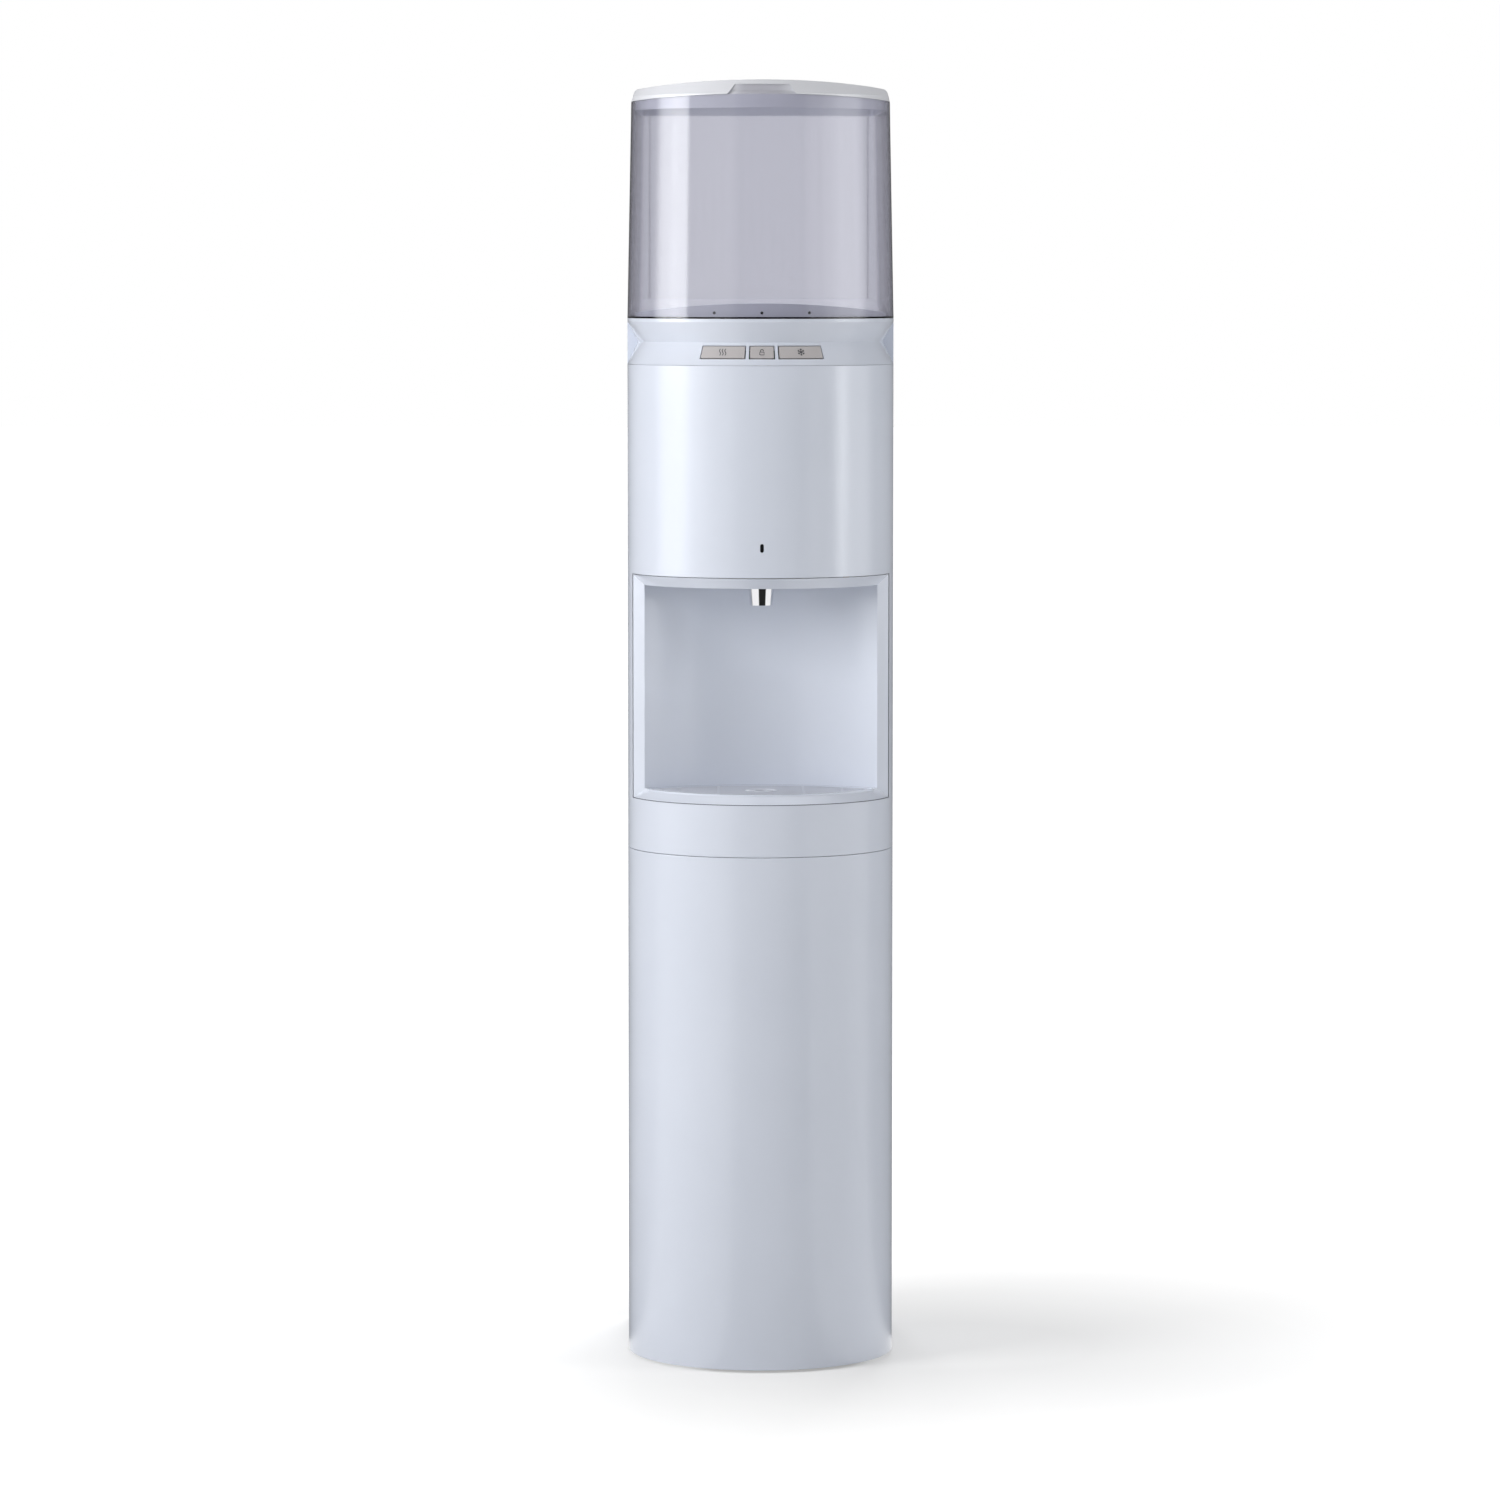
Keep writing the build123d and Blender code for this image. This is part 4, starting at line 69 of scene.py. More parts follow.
# Clear cover: surface tints, and what its thickness takes away
COVER_TINT = (0.95, 0.955, 0.985)
COVER_EDGE = (0.22, 0.21, 0.26)
COVER_RIM = (0.01, 0.01, 0.012)
# Painted shade lines where the cover's rear corners begin to bend
COVER_CREASE_SHADE = (0.22, 0.22, 0.26)
COVER_SMOKE = (0.46, 0.455, 0.53)
COVER_DENSITY = 175.0
COVER_IOR = 1.46
EDGE_START = 0.5
EDGE_FULL = 0.95

# Grain that all finishes share
PLASTIC_IOR = 1.5
PLASTIC_BUMP_SCALE = 900.0
PLASTIC_BUMP_DEPTH = 0.00004
DRIFT_SCALE = 6.0
DRIFT_DETAIL = 3.0
DRIFT_LOW = 0.3
DRIFT_HIGH = 0.7
FINE_DETAIL = 2.0
BUMP_STRENGTH = 0.25
LEAST_ROUGHNESS = 0.02

# Places on the parts where a tint or a painted shade begins, in metres
RIM_HEIGHT = 0.0018
CREASE_OFFSET = 0.1265
CREASE_REACH = 0.0005
CREASE_SHARE = 0.25
GRIP_MIDDLE = 0.016
GRIP_REACH = 0.040
GRIP_ABOVE = 0.0102
HUB_DEPTH = 0.0004
JOINT_RISE = 0.0152
JOINT_REACH = 0.0005
# How far the normals of such a face may lean
GRIP_LEAN = 0.055
FASCIA_LEAN = 0.3

# Printed symbols, in metres before scaling
SYMBOL_LIFT = 0.00004
SYMBOL_SCALE = 1.35
STROKE = 0.0009
FACE_DEPTH = 0.004
FACE_EDGE = 0.0006
WAVE_PLACES = (-0.0022, 0.0, 0.0022)
WAVE_HEIGHT = 0.0056
WAVE_SWING = 0.0006
WAVE_STEPS = 16
LOCK_HALF = 0.0017
LOCK_FOOT = -0.0024
SHACKLE_RADIUS = 0.0011
SHACKLE_RISE = 0.0012
SHACKLE_END = 0.0007
SHACKLE_STEPS = 10
STAR_ARMS = 6
STAR_REACH = 0.003
STAR_FORK = 0.0019
STAR_TWIG = 0.001
STAR_LEAN = math.radians(50)

# Surroundings for soft light: a dark gap round the camera, bright sides and a plain grey room
# behind, by the share of the way from front to back
GAP_LEVEL = 0.02
SIDE_LEVEL = 0.24
ROOM_LEVEL = 0.36
STUDIO_LEVELS = [
    (0.035, GAP_LEVEL),
    (0.065, SIDE_LEVEL),
    (0.45, SIDE_LEVEL),
    (0.66, ROOM_LEVEL),
]
LEFT_TILT = 1.15
RIGHT_TILT = 0.85
# Surroundings as polished surfaces show them: degrees from the camera's side, left below zero,
# and level
GLOSS_LEVELS = [
    (-106.0, 0.12),
    (-92.0, 1.0),
    (-26.0, 1.0),
    (-20.0, GAP_LEVEL),
    (38.0, GAP_LEVEL),
    (44.0, 1.0),
    (98.0, 1.0),
    (110.0, 0.12),
]

# Floor: half its side, and how much light it gives back to the camera and to the object
FLOOR_HALF = 40.0
FLOOR_SEEN = 0.5
FLOOR_BOUNCE = 0.68
# Glow that whitens the floor away from the object and dips near it, which paints part of its shadow: distance from
# the shadow's middle, and level
PAINTED_SHADOW_MIDDLE = (0.22, -0.02, 0.0)
GLOW_NEAR = (0.15, 0.34)
GLOW_BESIDE = (0.6, 0.62)
GLOW_FAR = (4.0, 0.95)

# Soft lamps that shade the object: name, place, aim, width, height, power
KEYS = [
    ("left_key", (-1.9, -1.2, 1.45), (0.0, -0.1, 1.0), 1.0, 1.2, 36.0),
    ("right_key", (2.2, -0.75, 1.4), (0.0, -0.1, 1.0), 0.8, 1.2, 20.0),
    ("low_fill", (0.0, -3.0, 0.35), (0.0, 0.0, 0.95), 2.4, 0.5, 5.0),
    ("top_soft", (-0.5, -1.6, 3.2), (0.0, -0.1, 0.9), 1.6, 1.6, 9.0),
    ("back_soft", (0.2, 1.9, 3.0), (0.0, 0.0, 1.15), 1.0, 1.0, 48.0),
]
# Upright strips that only show as gloss: name, inner and outer degree, foot, top, radiance,
# and the levels across them, from the inner to the outer edge
STRIPS = [
    ("left_high", -62.0, -106.0, 1.13, 1.95, 6.8,
     ((0.0, 0.0), (0.12, 0.95), (0.35, 1.0), (0.6, 0.7), (1.0, 0.0))),
    ("left_low", -58.0, -102.0, 0.62, 1.12, 2.3,
     ((0.0, 0.0), (0.2, 0.75), (0.35, 1.0), (0.6, 0.7), (1.0, 0.0))),
    ("right_high", 50.0, 102.0, 1.13, 1.95, 1.8,
     ((0.0, 0.0), (0.2, 0.45), (0.42, 1.0), (0.7, 0.85), (1.0, 0.0))),
    ("right_low", 62.0, 112.0, 0.62, 1.12, 3.0,
     ((0.0, 0.0), (0.15, 0.8), (0.22, 1.0), (0.36, 0.3), (0.8, 0.2), (1.0, 0.0))),
]
STRIP_DISTANCE = 2.2
STRIP_TINT = (0.96, 0.98, 1.0)
STRIP_POWER = 4


def grey(level):
    """A colour of equal parts."""
    return (level, level, level)


def add_node(tree, kind, place, **inputs):
    """A shader node with some of its sockets set."""
    node = tree.nodes.new(kind)
    node.location = place
    for name, value in inputs.items():
        node.inputs[name.replace("_", " ")].default_value = value
    return node


def add_math(tree, place, operation, *values):
    """A sum, product or comparison of sockets and numbers."""
    node = add_node(tree, "ShaderNodeMath", place)
    node.operation = operation
    for socket, value in zip(node.inputs, values):
        if isinstance(value, bpy.types.NodeSocket):
            tree.links.new(value, socket)
        else:
            socket.default_value = value
    return node.outputs["Value"]


def add_range(tree, place, value, start, end, low=0.0, high=1.0):
    """A value carried from one range to another, and held at its ends."""
    node = add_node(tree, "ShaderNodeMapRange", place,
                    From_Min=start, From_Max=end, To_Min=low, To_Max=high)
    tree.links.new(value, node.inputs["Value"])
    return node


def add_ramp(tree, place, value, stops):
    """A colour ramp through positions and colours."""
    node = add_node(tree, "ShaderNodeValToRGB", place)
    elements = node.color_ramp.elements
    elements.remove(elements[1])
    for i, (position, colour) in enumerate(stops):
        stop = elements.new(position) if i else elements[0]
        stop.position = position
        stop.color = (*colour, 1.0)
    tree.links.new(value, node.inputs["Fac"])
    return node


def one_axis(tree, place, source, axis):
    """One coordinate of a place, direction or normal."""
    split = add_node(tree, "ShaderNodeSeparateXYZ", place)
    tree.links.new(source, split.inputs["Vector"])
    return split.outputs[axis]


def new_material(name):
    """An empty node material with its output and a principled shader."""
    material = bpy.data.materials.new(name)
    material.use_nodes = True
    tree = material.node_tree
    tree.nodes.clear()
    output = add_node(tree, "ShaderNodeOutputMaterial", (600, 0))
    shader = add_node(tree, "ShaderNodeBsdfPrincipled", (300, 0))
    tree.links.new(shader.outputs["BSDF"], output.inputs["Surface"])
    return material, tree, shader, output


def add_grain(tree, shader, colour, spread, roughness, rough_spread, bump_scale, bump_depth):
    """Soft colour drift, uneven gloss and a fine moulded texture."""
    place = add_node(tree, "ShaderNodeTexCoord", (-900, 0)).outputs["Object"]
    drift = add_node(tree, "ShaderNodeTexNoise", (-650, 200),
                     Scale=DRIFT_SCALE, Detail=DRIFT_DETAIL)
    tree.links.new(place, drift.inputs["Vector"])
    darker = [max(c - spread, 0.0) for c in colour]
    lighter = [min(c + spread, 1.0) for c in colour]
    ramp = add_ramp(tree, (-400, 250), drift.outputs["Fac"],
                    [(DRIFT_LOW, darker), (DRIFT_HIGH, lighter)])
    tree.links.new(ramp.outputs["Color"], shader.inputs["Base Color"])
    gloss = add_range(tree, (-400, 0), drift.outputs["Fac"], 0.0, 1.0,
                      max(roughness - rough_spread, LEAST_ROUGHNESS),
                      min(roughness + rough_spread, 1.0))
    tree.links.new(gloss.outputs["Result"], shader.inputs["Roughness"])
    fine = add_node(tree, "ShaderNodeTexNoise", (-650, -250),
                    Scale=bump_scale, Detail=FINE_DETAIL)
    tree.links.new(place, fine.inputs["Vector"])
    bump = add_node(tree, "ShaderNodeBump", (0, -300),
                    Strength=BUMP_STRENGTH, Distance=bump_depth)
    tree.links.new(fine.outputs["Fac"], bump.inputs["Height"])
    tree.links.new(bump.outputs["Normal"], shader.inputs["Normal"])
    return place, ramp.outputs["Color"]


def band_mask(tree, source, axis, middle, reach):
    """One where a part's place or normal lies in a band, zero elsewhere."""
    value = one_axis(tree, (-650, 500), source, axis)
    return add_math(tree, (-450, 500), "COMPARE", value, middle, reach)


def fade_mask(tree, source, axis, inner, outer):
    """One in a part's middle, fading to zero on both sides."""
    value = one_axis(tree, (-650, 700), source, axis)
    away = add_math(tree, (-500, 700), "ABSOLUTE", value)
    fade = add_range(tree, (-350, 700), away, inner, outer, 1.0, 0.0)
    fade.interpolation_type = "SMOOTHSTEP"
    return fade.outputs["Result"]


def join_masks(tree, operation, first, *others):
    """Several masks multiplied or added."""
    for other in others:
        first = add_math(tree, (-250, 500), operation, first, other)
    return first


def tint_where(tree, base, mask, colour):
    """The base colour, and another colour where the mask is one."""
    blend = add_node(tree, "ShaderNodeMix", (50, 300))
    blend.data_type = "RGBA"
    first, second = [s for s in blend.inputs if s.type == "RGBA"]
    second.default_value = (*colour, 1.0)
    tree.links.new(mask, blend.inputs["Factor"])
    tree.links.new(base, first)
    return next(s for s in blend.outputs if s.type == "RGBA")


def plastic(name, colour, roughness, spread=0.012,
            bump_scale=PLASTIC_BUMP_SCALE, bump_depth=PLASTIC_BUMP_DEPTH):
    """A moulded plastic."""
    material, tree, shader, _ = new_material(name)
    add_grain(tree, shader, colour, spread, roughness, rough_spread=0.04,
              bump_scale=bump_scale, bump_depth=bump_depth)
    shader.inputs["IOR"].default_value = PLASTIC_IOR
    return material


def metal(name, colour, roughness, spread=0.03, bump_scale=400.0):
    """A bare or plated metal."""
    material, tree, shader, _ = new_material(name)
    add_grain(tree, shader, colour, spread, roughness, rough_spread=0.05,
              bump_scale=bump_scale, bump_depth=0.00002)
    shader.inputs["Metallic"].default_value = 1.0
    return material


def plastic_with_painted_shade(name, colour, roughness, mask_colour, make_mask):
    """A moulded plastic with a second colour where a mask says so; in each use here one of the two is painted
    shade.
    """
    material, tree, shader, _ = new_material(name)
    place, base = add_grain(tree, shader, colour, 0.005, roughness, rough_spread=0.02,
                            bump_scale=PLASTIC_BUMP_SCALE, bump_depth=PLASTIC_BUMP_DEPTH)
    normal = add_node(tree, "ShaderNodeNewGeometry", (-900, 500)).outputs["True Normal"]
    tinted = tint_where(tree, base, make_mask(tree, place, normal), mask_colour)
    tree.links.new(tinted, shader.inputs["Base Color"])
    shader.inputs["IOR"].default_value = PLASTIC_IOR
    return material


def smoke_clear(name):
    """Clear smoke-tinted plastic, darker edge on, with a dark rim and painted shade lines where the rear corners
    bend.

    It lets lamplight through.
    """
    material, tree, shader, output = new_material(name)
    place, colour = add_grain(tree, shader, COVER_TINT, spread=0.004, roughness=0.05,
                              rough_spread=0.008, bump_scale=60.0, bump_depth=0.000005)
    facing = add_node(tree, "ShaderNodeLayerWeight", (-650, 900), Blend=0.5)
    edge_on = add_range(tree, (-450, 900), facing.outputs["Facing"], EDGE_START, EDGE_FULL)
    colour = tint_where(tree, colour, edge_on.outputs["Result"], COVER_EDGE)
    low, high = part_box("bottle_cover")
    # Painted shade lines at the rear corners' bends
    left = band_mask(tree, place, "X", -CREASE_OFFSET, CREASE_REACH)
    right = band_mask(tree, place, "X", CREASE_OFFSET, CREASE_REACH)
    back = band_mask(tree, place, "Y", high[1], (high[1] - low[1]) * CREASE_SHARE)
    crease_shade = join_masks(tree, "MULTIPLY", join_masks(tree, "ADD", left, right), back)
    colour = tint_where(tree, colour, crease_shade, COVER_CREASE_SHADE)
    rim = band_mask(tree, place, "Z", low[2], RIM_HEIGHT)
    colour = tint_where(tree, colour, rim, COVER_RIM)
    tree.links.new(colour, shader.inputs["Base Color"])
    shader.inputs["IOR"].default_value = COVER_IOR
    shader.inputs["Transmission Weight"].default_value = 1.0
    smoke = add_node(tree, "ShaderNodeVolumeAbsorption", (300, -400),
                     Color=(*COVER_SMOKE, 1.0), Density=COVER_DENSITY)
    tree.links.new(smoke.outputs["Volume"], output.inputs["Volume"])
    clear = add_node(tree, "ShaderNodeBsdfTransparent", (300, 200))
    paths = add_node(tree, "ShaderNodeLightPath", (100, 500))
    pick = add_node(tree, "ShaderNodeMixShader", (480, 150))
    tree.links.new(paths.outputs["Is Shadow Ray"], pick.inputs["Fac"])
    tree.links.new(shader.outputs["BSDF"], pick.inputs[1])
    tree.links.new(clear.outputs["BSDF"], pick.inputs[2])
    tree.links.new(pick.outputs["Shader"], output.inputs["Surface"])
    return material


def recess_shade_mask(tree, place, normal):
    """The upright walls inside the cap's finger recess, where shade is painted."""
    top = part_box("cover_cap")[1][2]
    middle = fade_mask(tree, place, "X", GRIP_MIDDLE, GRIP_REACH)
    level = band_mask(tree, place, "Z", top - GRIP_ABOVE, GRIP_ABOVE / 2)
    upright = band_mask(tree, normal, "Y", -1.0, GRIP_LEAN)
    return join_masks(tree, "MULTIPLY", middle, level, upright)


def hub_mask(tree, place, normal):
    """The raised ring round the grille's hub."""
    return band_mask(tree, place, "Z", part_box("drip_grille")[1][2], HUB_DEPTH)


def lip_shade_mask(tree, place, normal):
    """A line of painted shade along the lower edge of the tray's lip."""
    return band_mask(tree, place, "Z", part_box("drip_tray")[0][2] + JOINT_RISE, JOINT_REACH)


def fascia_shade_mask(tree, place, normal):
    """The upright faces of the deck, where shade is painted."""
    return band_mask(tree, normal, "Z", 0.0, FASCIA_LEAN)


# Finishes by the record's material slots: name, colour and roughness first
FINISHES = {
    "shell_white": plastic("pearl_white_plastic", SHELL_COLOUR, 0.18),
    "liner_white": plastic("white_liner_plastic", SHELL_COLOUR, 0.24),
    "smoke_clear": smoke_clear("clear_smoke_plastic"),
    # The cap's finish paints shade on the walls of its finger recess
    "cap_silver": plastic_with_painted_shade("silver_pearl_plastic_recess_shade", CAP_COLOUR, 0.31, RECESS_SHADE_COLOUR, recess_shade_mask),
    "button_grey": plastic("warm_grey_plastic", BUTTON_COLOUR, 0.45),
    # The grille's finish is pale only on its top face and paints the shade of its slots below it
    "grille_white": plastic_with_painted_shade("pale_grille_plastic_slot_shade", SLAT_SHADE_COLOUR, 0.40, HUB_COLOUR, hub_mask),
    "spout_chrome": metal("polished_chrome", (0.86, 0.86, 0.88), 0.05, spread=0.01),
    "lens_black": plastic("black_lens_plastic", (0.012, 0.012, 0.014), 0.12, spread=0.004),
    "rubber_black": plastic("black_rubber", (0.03, 0.03, 0.03), 0.75,
                            bump_scale=1500.0, bump_depth=0.0001),
    "silicone": plastic("milky_silicone", (0.72, 0.72, 0.69), 0.45, spread=0.03),
    "sheet_steel": metal("galvanised_steel", (0.60, 0.62, 0.64), 0.42,
                         spread=0.08, bump_scale=120.0),
    "tank_steel": metal("satin_steel", (0.66, 0.66, 0.67), 0.30),
    "screw_steel": metal("zinc_plated_steel", (0.55, 0.55, 0.57), 0.35),
    "pipe_copper": metal("drawn_copper", (0.72, 0.40, 0.25), 0.30, spread=0.05),
    "black_metal": plastic("black_paint", (0.02, 0.02, 0.022), 0.35,
                           spread=0.006, bump_scale=500.0),
    "foam_white": plastic("white_bead_foam", (0.82, 0.82, 0.80), 0.85,
                          spread=0.03, bump_scale=260.0, bump_depth=0.0006),
    "valve_plastic": plastic("ivory_valve_plastic", (0.74, 0.72, 0.66), 0.5),
    "heater_mica": plastic("mica_band", (0.42, 0.37, 0.30), 0.55,
                           spread=0.05, bump_scale=300.0),
    "board_green": plastic("green_circuit_board", (0.03, 0.16, 0.07), 0.30,
                           spread=0.02, bump_scale=200.0),
    "box_grey": plastic("dark_grey_plastic", (0.14, 0.14, 0.15), 0.5),
}

for subpart in frame["record"]["subparts"]:
    part = nodes[subpart["node"]]
    part.data.materials.clear()
    part.data.materials.append(FINISHES[subpart["material_slot"]])
# The deck's finish paints light on faces that look up and shade on its upright faces
deck_finish = plastic_with_painted_shade("deck_plastic_painted_light_and_shade", DECK_LIT_COLOUR, 0.10, FASCIA_SHADE_COLOUR, fascia_shade_mask)
nodes["bottle_deck"].data.materials[0] = deck_finish
# The tray's finish paints a line of shade under its lip
tray_finish = plastic_with_painted_shade("pearl_tray_plastic_lip_shade", SHELL_COLOUR, 0.18, LIP_SHADE_COLOUR, lip_shade_mask)
nodes["drip_tray"].data.materials[0] = tray_finish
symbol_finish = plastic("symbol_print", SYMBOL_COLOUR, 0.5, spread=0.02)


def turned(centre, radius, angle):
    """The point at an angle on a circle in the button's plane."""
    return (centre[0] + radius * math.cos(angle), centre[1] + radius * math.sin(angle))


def heat_waves():
    """Three standing wave lines."""
    shares = [i / WAVE_STEPS for i in range(WAVE_STEPS + 1)]
    return [[(x + WAVE_SWING * math.sin(2 * math.pi * s), WAVE_HEIGHT * (s - 0.5)) for s in shares]
            for x in WAVE_PLACES]


def padlock():
    """A padlock's body, and its shackle lifted on one side."""
    left, right = -LOCK_HALF, LOCK_HALF
    body = [(left, LOCK_FOOT), (right, LOCK_FOOT), (right, 0.0), (left, 0.0), (left, LOCK_FOOT)]
    angles = [math.pi * (1 - i / SHACKLE_STEPS) for i in range(SHACKLE_STEPS + 1)]
    arch = [turned((0.0, SHACKLE_RISE), SHACKLE_RADIUS, angle) for angle in angles]
    return [body, [(-SHACKLE_RADIUS, 0.0), *arch, (SHACKLE_RADIUS, SHACKLE_END)]]


def star():
    """A star whose arms fork."""
    lines = []
    for arm in range(STAR_ARMS):
        angle = 2 * math.pi * (arm + 0.5) / STAR_ARMS
        lines.append([(0.0, 0.0), turned((0.0, 0.0), STAR_REACH, angle)])
        fork = turned((0.0, 0.0), STAR_FORK, angle)
        for side in (-1, 1):
            lines.append([fork, turned(fork, STAR_TWIG, angle + side * STAR_LEAN)])
    return lines


def middle_of(points, direction):
    """Half way between a set of points' ends along a direction."""
    along = [p.dot(direction) for p in points]
    return (min(along) + max(along)) / 2


def add_symbol(kind, lines):
    """Thin printed strokes on a button's face, riding with it."""
    joint = next(j for j in frame["joints"] if j["name"] == f"{kind}_press")
    outward = -Vector(joint["axis"]).normalized()
    across = Vector((0.0, 0.0, 1.0)).cross(outward).normalized()
    upward = outward.cross(across).normalized()
    corners = [v.co for v in nodes[f"button_{kind}"].data.vertices]
    face_level = max(c.dot(outward) for c in corners)
    face = [c for c in corners if c.dot(outward) > face_level - FACE_DEPTH]
    front = [c for c in face if c.dot(outward) > face_level - FACE_EDGE]
    centre = (outward * (face_level + SYMBOL_LIFT)
              + across * middle_of(face, across) + upward * middle_of(front, upward))
    verts = []
    faces = []
    for line in lines:
        points = [Vector(p) * SYMBOL_SCALE for p in line]
        for i, point in enumerate(points):
            before = points[max(i - 1, 0)]
            after = points[min(i + 1, len(points) - 1)]
            along = (after - before).normalized()
            side = Vector((-along.y, along.x)) * STROKE / 2
            for edge in (point - side, point + side):
                verts.append(centre + across * edge.x + upward * edge.y)
            if i:
                last = len(verts)
                faces.append((last - 4, last - 3, last - 1, last - 2))
    mesh = bpy.data.meshes.new(f"symbol_{kind}")
    mesh.from_pydata(verts, [], faces)
    mesh.materials.append(symbol_finish)
    piece = bpy.data.objects.new(f"symbol_{kind}", mesh)
    bpy.context.scene.collection.objects.link(piece)
    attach(piece, joint["child"])


add_symbol("hot", heat_waves())
add_symbol("unlock", padlock())
add_symbol("cold", star())


def gloss_ramp(tree, direction):
    """Levels that polished surfaces see round the object, by the angle from the camera's side."""
    ahead = one_axis(tree, (-900, -500), direction, "Y")
    ahead = add_math(tree, (-720, -500), "MULTIPLY", ahead, -1.0)
    aside = one_axis(tree, (-900, -350), direction, "X")
    angle = add_math(tree, (-540, -400), "ARCTAN2", aside, ahead)
    share = add_range(tree, (-360, -400), angle, -math.pi, math.pi)
    stops = [(degrees / 360 + 0.5, grey(level)) for degrees, level in GLOSS_LEVELS]
    return add_ramp(tree, (-180, -400), share.outputs["Result"], stops).outputs["Color"]


def pick_by_ray(tree, plain, gloss, seen):
    """One shader for soft light, one for gloss, and one for the camera and clear plastic."""
    paths = add_node(tree, "ShaderNodeLightPath", (0, 400)).outputs
    direct = add_math(tree, (200, 400), "MAXIMUM",
                      paths["Is Camera Ray"], paths["Is Transmission Ray"])
    first = add_node(tree, "ShaderNodeMixShader", (400, 0))
    second = add_node(tree, "ShaderNodeMixShader", (600, 0))
    tree.links.new(paths["Is Glossy Ray"], first.inputs["Fac"])
    tree.links.new(plain, first.inputs[1])
    tree.links.new(gloss, first.inputs[2])
    tree.links.new(direct, second.inputs["Fac"])
    tree.links.new(first.outputs["Shader"], second.inputs[1])
    tree.links.new(seen, second.inputs[2])
    return second.outputs["Shader"]


def floor_finish():
    """A pale floor, white to the camera where no shadow falls; its shadow is partly real, from the lamps, and
    partly painted where the glow dips near the object.
    """
    material = bpy.data.materials.new("pale_floor")
    material.use_nodes = True
    tree = material.node_tree
    tree.nodes.clear()
    output = add_node(tree, "ShaderNodeOutputMaterial", (800, 0))
    spot = add_node(tree, "ShaderNodeNewGeometry", (-1100, 0)).outputs["Position"]
    away = add_node(tree, "ShaderNodeVectorMath", (-800, 100))
    away.operation = "DISTANCE"
    away.inputs[1].default_value = PAINTED_SHADOW_MIDDLE
    tree.links.new(spot, away.inputs[0])
    # The glow dips near the shadow's middle, which paints a shadow pool round the object's foot
    rises = []
    for (start, low), (end, high) in ((GLOW_NEAR, GLOW_BESIDE), (GLOW_BESIDE, GLOW_FAR)):
        rise = add_range(tree, (-600, 100), away.outputs["Value"], start, end, low, high)
        rises.append(rise.outputs["Result"])
    both_rises = add_math(tree, (-400, 100), "ADD", *rises)
    glow_level = add_math(tree, (-200, 100), "SUBTRACT", both_rises, GLOW_BESIDE[1])
    glow = add_node(tree, "ShaderNodeEmission", (0, 50))
    tree.links.new(glow_level, glow.inputs["Strength"])
    shown = add_node(tree, "ShaderNodeBsdfDiffuse", (0, 200), Color=(*grey(FLOOR_SEEN), 1.0))
    seen = add_node(tree, "ShaderNodeAddShader", (200, 150))
    tree.links.new(shown.outputs["BSDF"], seen.inputs[0])
    tree.links.new(glow.outputs["Emission"], seen.inputs[1])
    matt = add_node(tree, "ShaderNodeBsdfDiffuse", (0, -80), Color=(*grey(FLOOR_BOUNCE), 1.0))
    shine = add_node(tree, "ShaderNodeEmission", (0, -220))
    tree.links.new(gloss_ramp(tree, spot), shine.inputs["Color"])
    surface = pick_by_ray(tree, plain=matt.outputs["BSDF"], gloss=shine.outputs["Emission"],
                          seen=seen.outputs["Shader"])
    tree.links.new(surface, output.inputs["Surface"])
    return material


floor_mesh = bpy.data.meshes.new("floor")
floor_corners = [(x * FLOOR_HALF, y * FLOOR_HALF, 0.0)
                 for x, y in ((-1, -1), (1, -1), (1, 1), (-1, 1))]
floor_mesh.from_pydata(floor_corners, [], [(0, 1, 2, 3)])
floor_mesh.materials.append(floor_finish())
floor = bpy.data.objects.new("floor", floor_mesh)
bpy.context.scene.collection.objects.link(floor)


def add_world():
    """Surroundings: white to the camera and through clear plastic, a plain studio to the object."""
    world = bpy.data.worlds.new("studio")
    bpy.context.scene.world = world
    world.use_nodes = True
    tree = world.node_tree
    tree.nodes.clear()
    output = add_node(tree, "ShaderNodeOutputWorld", (800, 0))
    direction = add_node(tree, "ShaderNodeTexCoord", (-1100, 0)).outputs["Generated"]
    back = add_range(tree, (-500, 0), one_axis(tree, (-700, 0), direction, "Y"), -1.0, 1.0)
    tilt = add_range(tree, (-500, 250), one_axis(tree, (-700, 250), direction, "X"), -1.0, 1.0,
                     LEFT_TILT, RIGHT_TILT)
    levels = add_ramp(tree, (-250, 0), back.outputs["Result"],
                      [(share, grey(level)) for share, level in STUDIO_LEVELS])
    studio = add_node(tree, "ShaderNodeBackground", (100, 0))
    tree.links.new(levels.outputs["Color"], studio.inputs["Color"])
    tree.links.new(tilt.outputs["Result"], studio.inputs["Strength"])
    mirror = add_node(tree, "ShaderNodeBackground", (100, -150), Strength=1.0)
    tree.links.new(gloss_ramp(tree, direction), mirror.inputs["Color"])
    white = add_node(tree, "ShaderNodeBackground", (100, 150),
                     Color=(*grey(1.0), 1.0), Strength=1.0)
    surface = pick_by_ray(tree, plain=studio.outputs["Background"],
                          gloss=mirror.outputs["Background"], seen=white.outputs["Background"])
    tree.links.new(surface, output.inputs["Surface"])


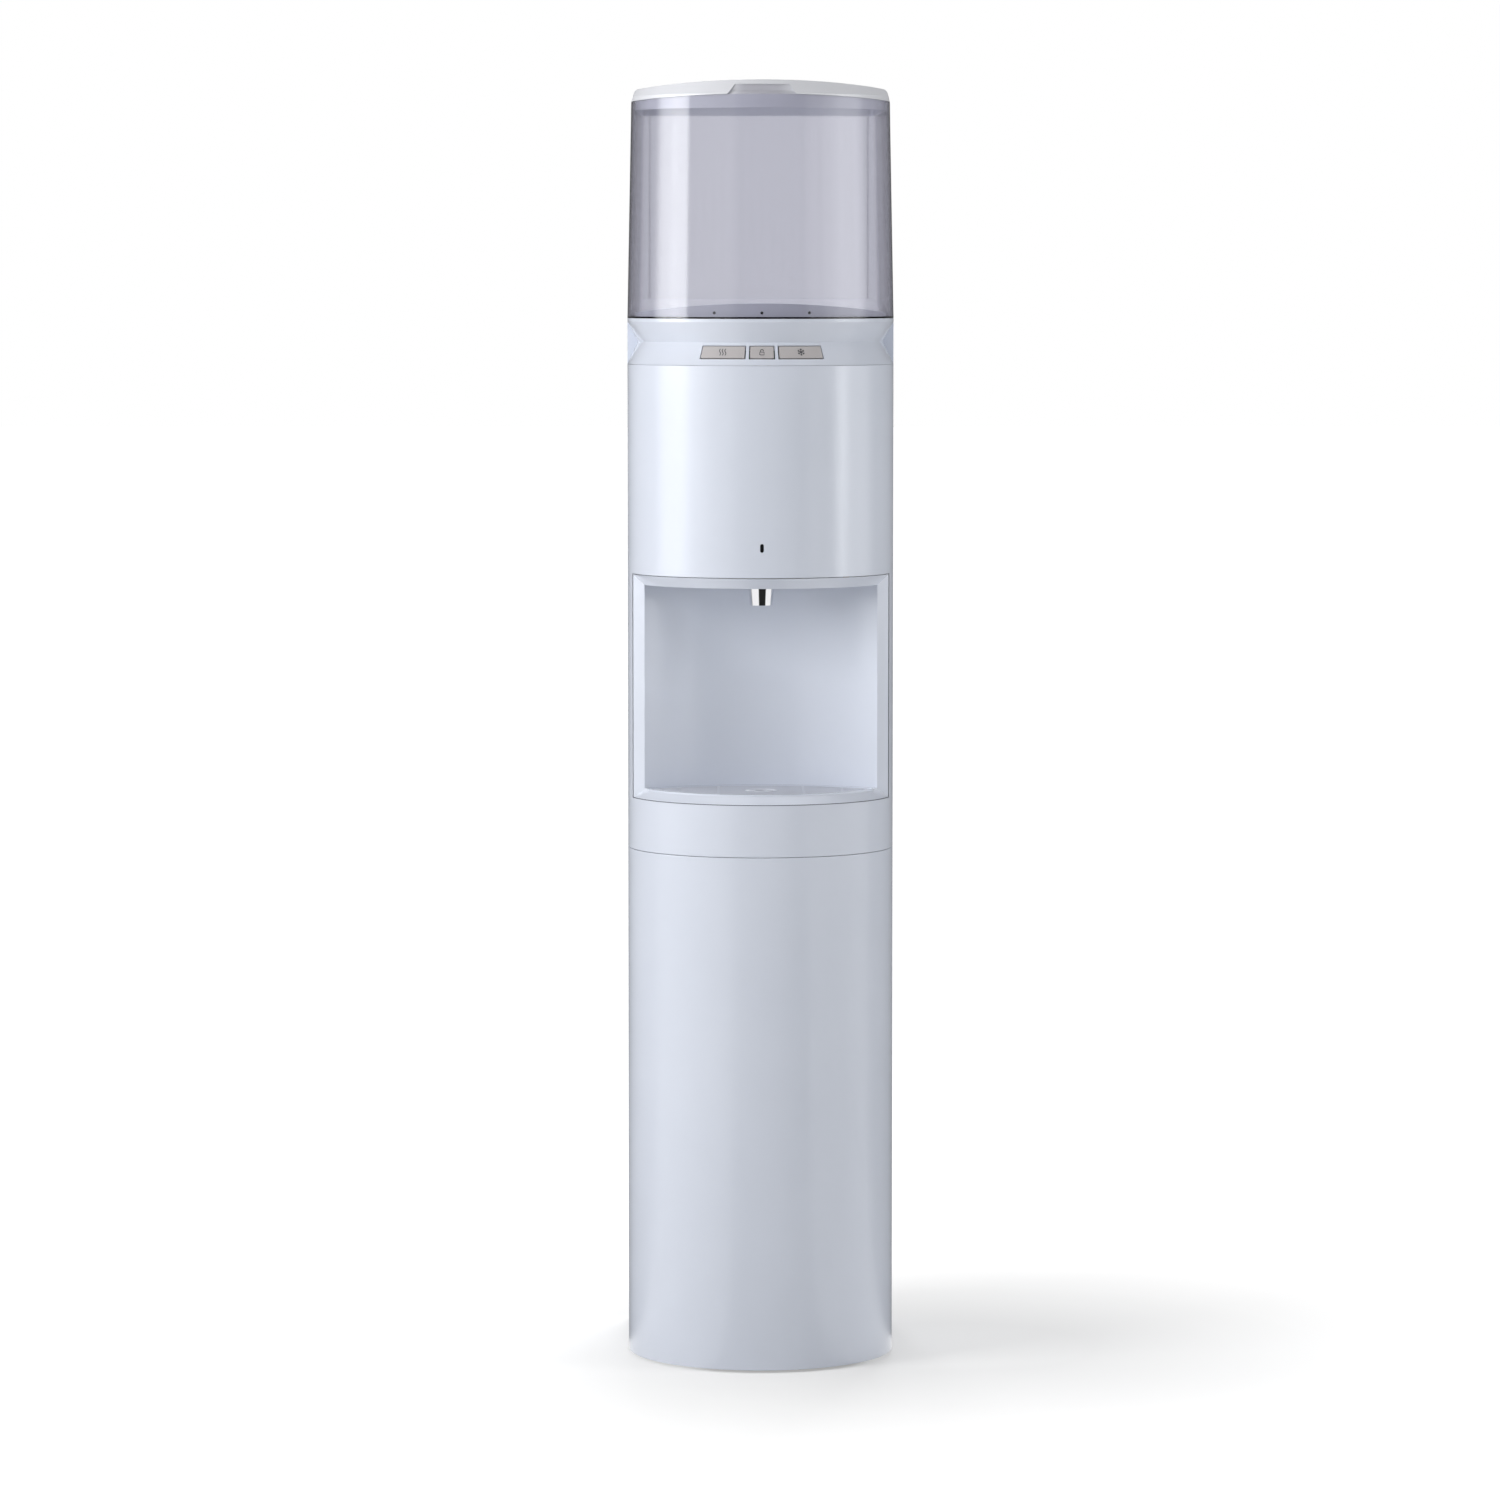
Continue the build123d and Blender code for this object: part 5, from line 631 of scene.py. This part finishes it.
def add_lamp(name, place, aim, width, height, power):
    """A rectangular softbox facing a point, which shades the object and isn't mirrored in it."""
    light = bpy.data.lights.new(name, "AREA")
    light.shape = "RECTANGLE"
    light.size = width
    light.size_y = height
    light.energy = power
    lamp = bpy.data.objects.new(name, light)
    lamp.location = place
    lamp.rotation_euler = (Vector(aim) - Vector(place)).to_track_quat("-Z", "Y").to_euler()
    lamp.visible_camera = False
    lamp.visible_transmission = False
    lamp.visible_glossy = False
    bpy.context.scene.collection.objects.link(lamp)
    return lamp


def add_strip(name, inner, outer, foot, top, radiance, profile):
    """An upright strip with soft edges that only shows as gloss."""
    turn = math.radians((inner + outer) / 2)
    width = 2 * STRIP_DISTANCE * math.tan(math.radians(abs(outer - inner)) / 2)
    middle = (foot + top) / 2
    place = (STRIP_DISTANCE * math.sin(turn), -STRIP_DISTANCE * math.cos(turn), middle)
    power = STRIP_POWER * radiance * width * (top - foot)
    strip = add_lamp(name, place, (0.0, 0.0, middle), width, top - foot, power)
    strip.visible_diffuse = False
    strip.visible_glossy = True
    strip.data.use_nodes = True
    tree = strip.data.node_tree
    tree.nodes.clear()
    output = add_node(tree, "ShaderNodeOutputLight", (400, 0))
    shine = add_node(tree, "ShaderNodeEmission", (200, 0), Strength=1.0)
    spot = add_node(tree, "ShaderNodeNewGeometry", (-600, 0)).outputs["Parametric"]
    levels = sorted((share if inner > 0 else 1 - share, level) for share, level in profile)
    stops = [(share, [part * level for part in STRIP_TINT]) for share, level in levels]
    ramp = add_ramp(tree, (-200, 0), one_axis(tree, (-400, 0), spot, "X"), stops)
    ramp.color_ramp.interpolation = "EASE"
    tree.links.new(ramp.outputs["Color"], shine.inputs["Color"])
    tree.links.new(shine.outputs["Emission"], output.inputs["Surface"])


add_world()
for key in KEYS:
    add_lamp(*key)
for strip_row in STRIPS:
    add_strip(*strip_row)

camera_data = bpy.data.cameras.new("camera")
camera_data.sensor_fit = "HORIZONTAL"
camera_data.sensor_width = SENSOR
camera_data.lens = FOCAL_PIXELS * SENSOR / PHOTO_SIZE
camera_data.clip_end = CAMERA_FAR
camera = bpy.data.objects.new("camera", camera_data)
camera.location = CAMERA_PLACE
camera.rotation_euler = (math.pi / 2 - CAMERA_PITCH, 0.0, CAMERA_YAW)
bpy.context.scene.collection.objects.link(camera)
bpy.context.scene.camera = camera
bpy.context.scene.view_settings.view_transform = "Standard"
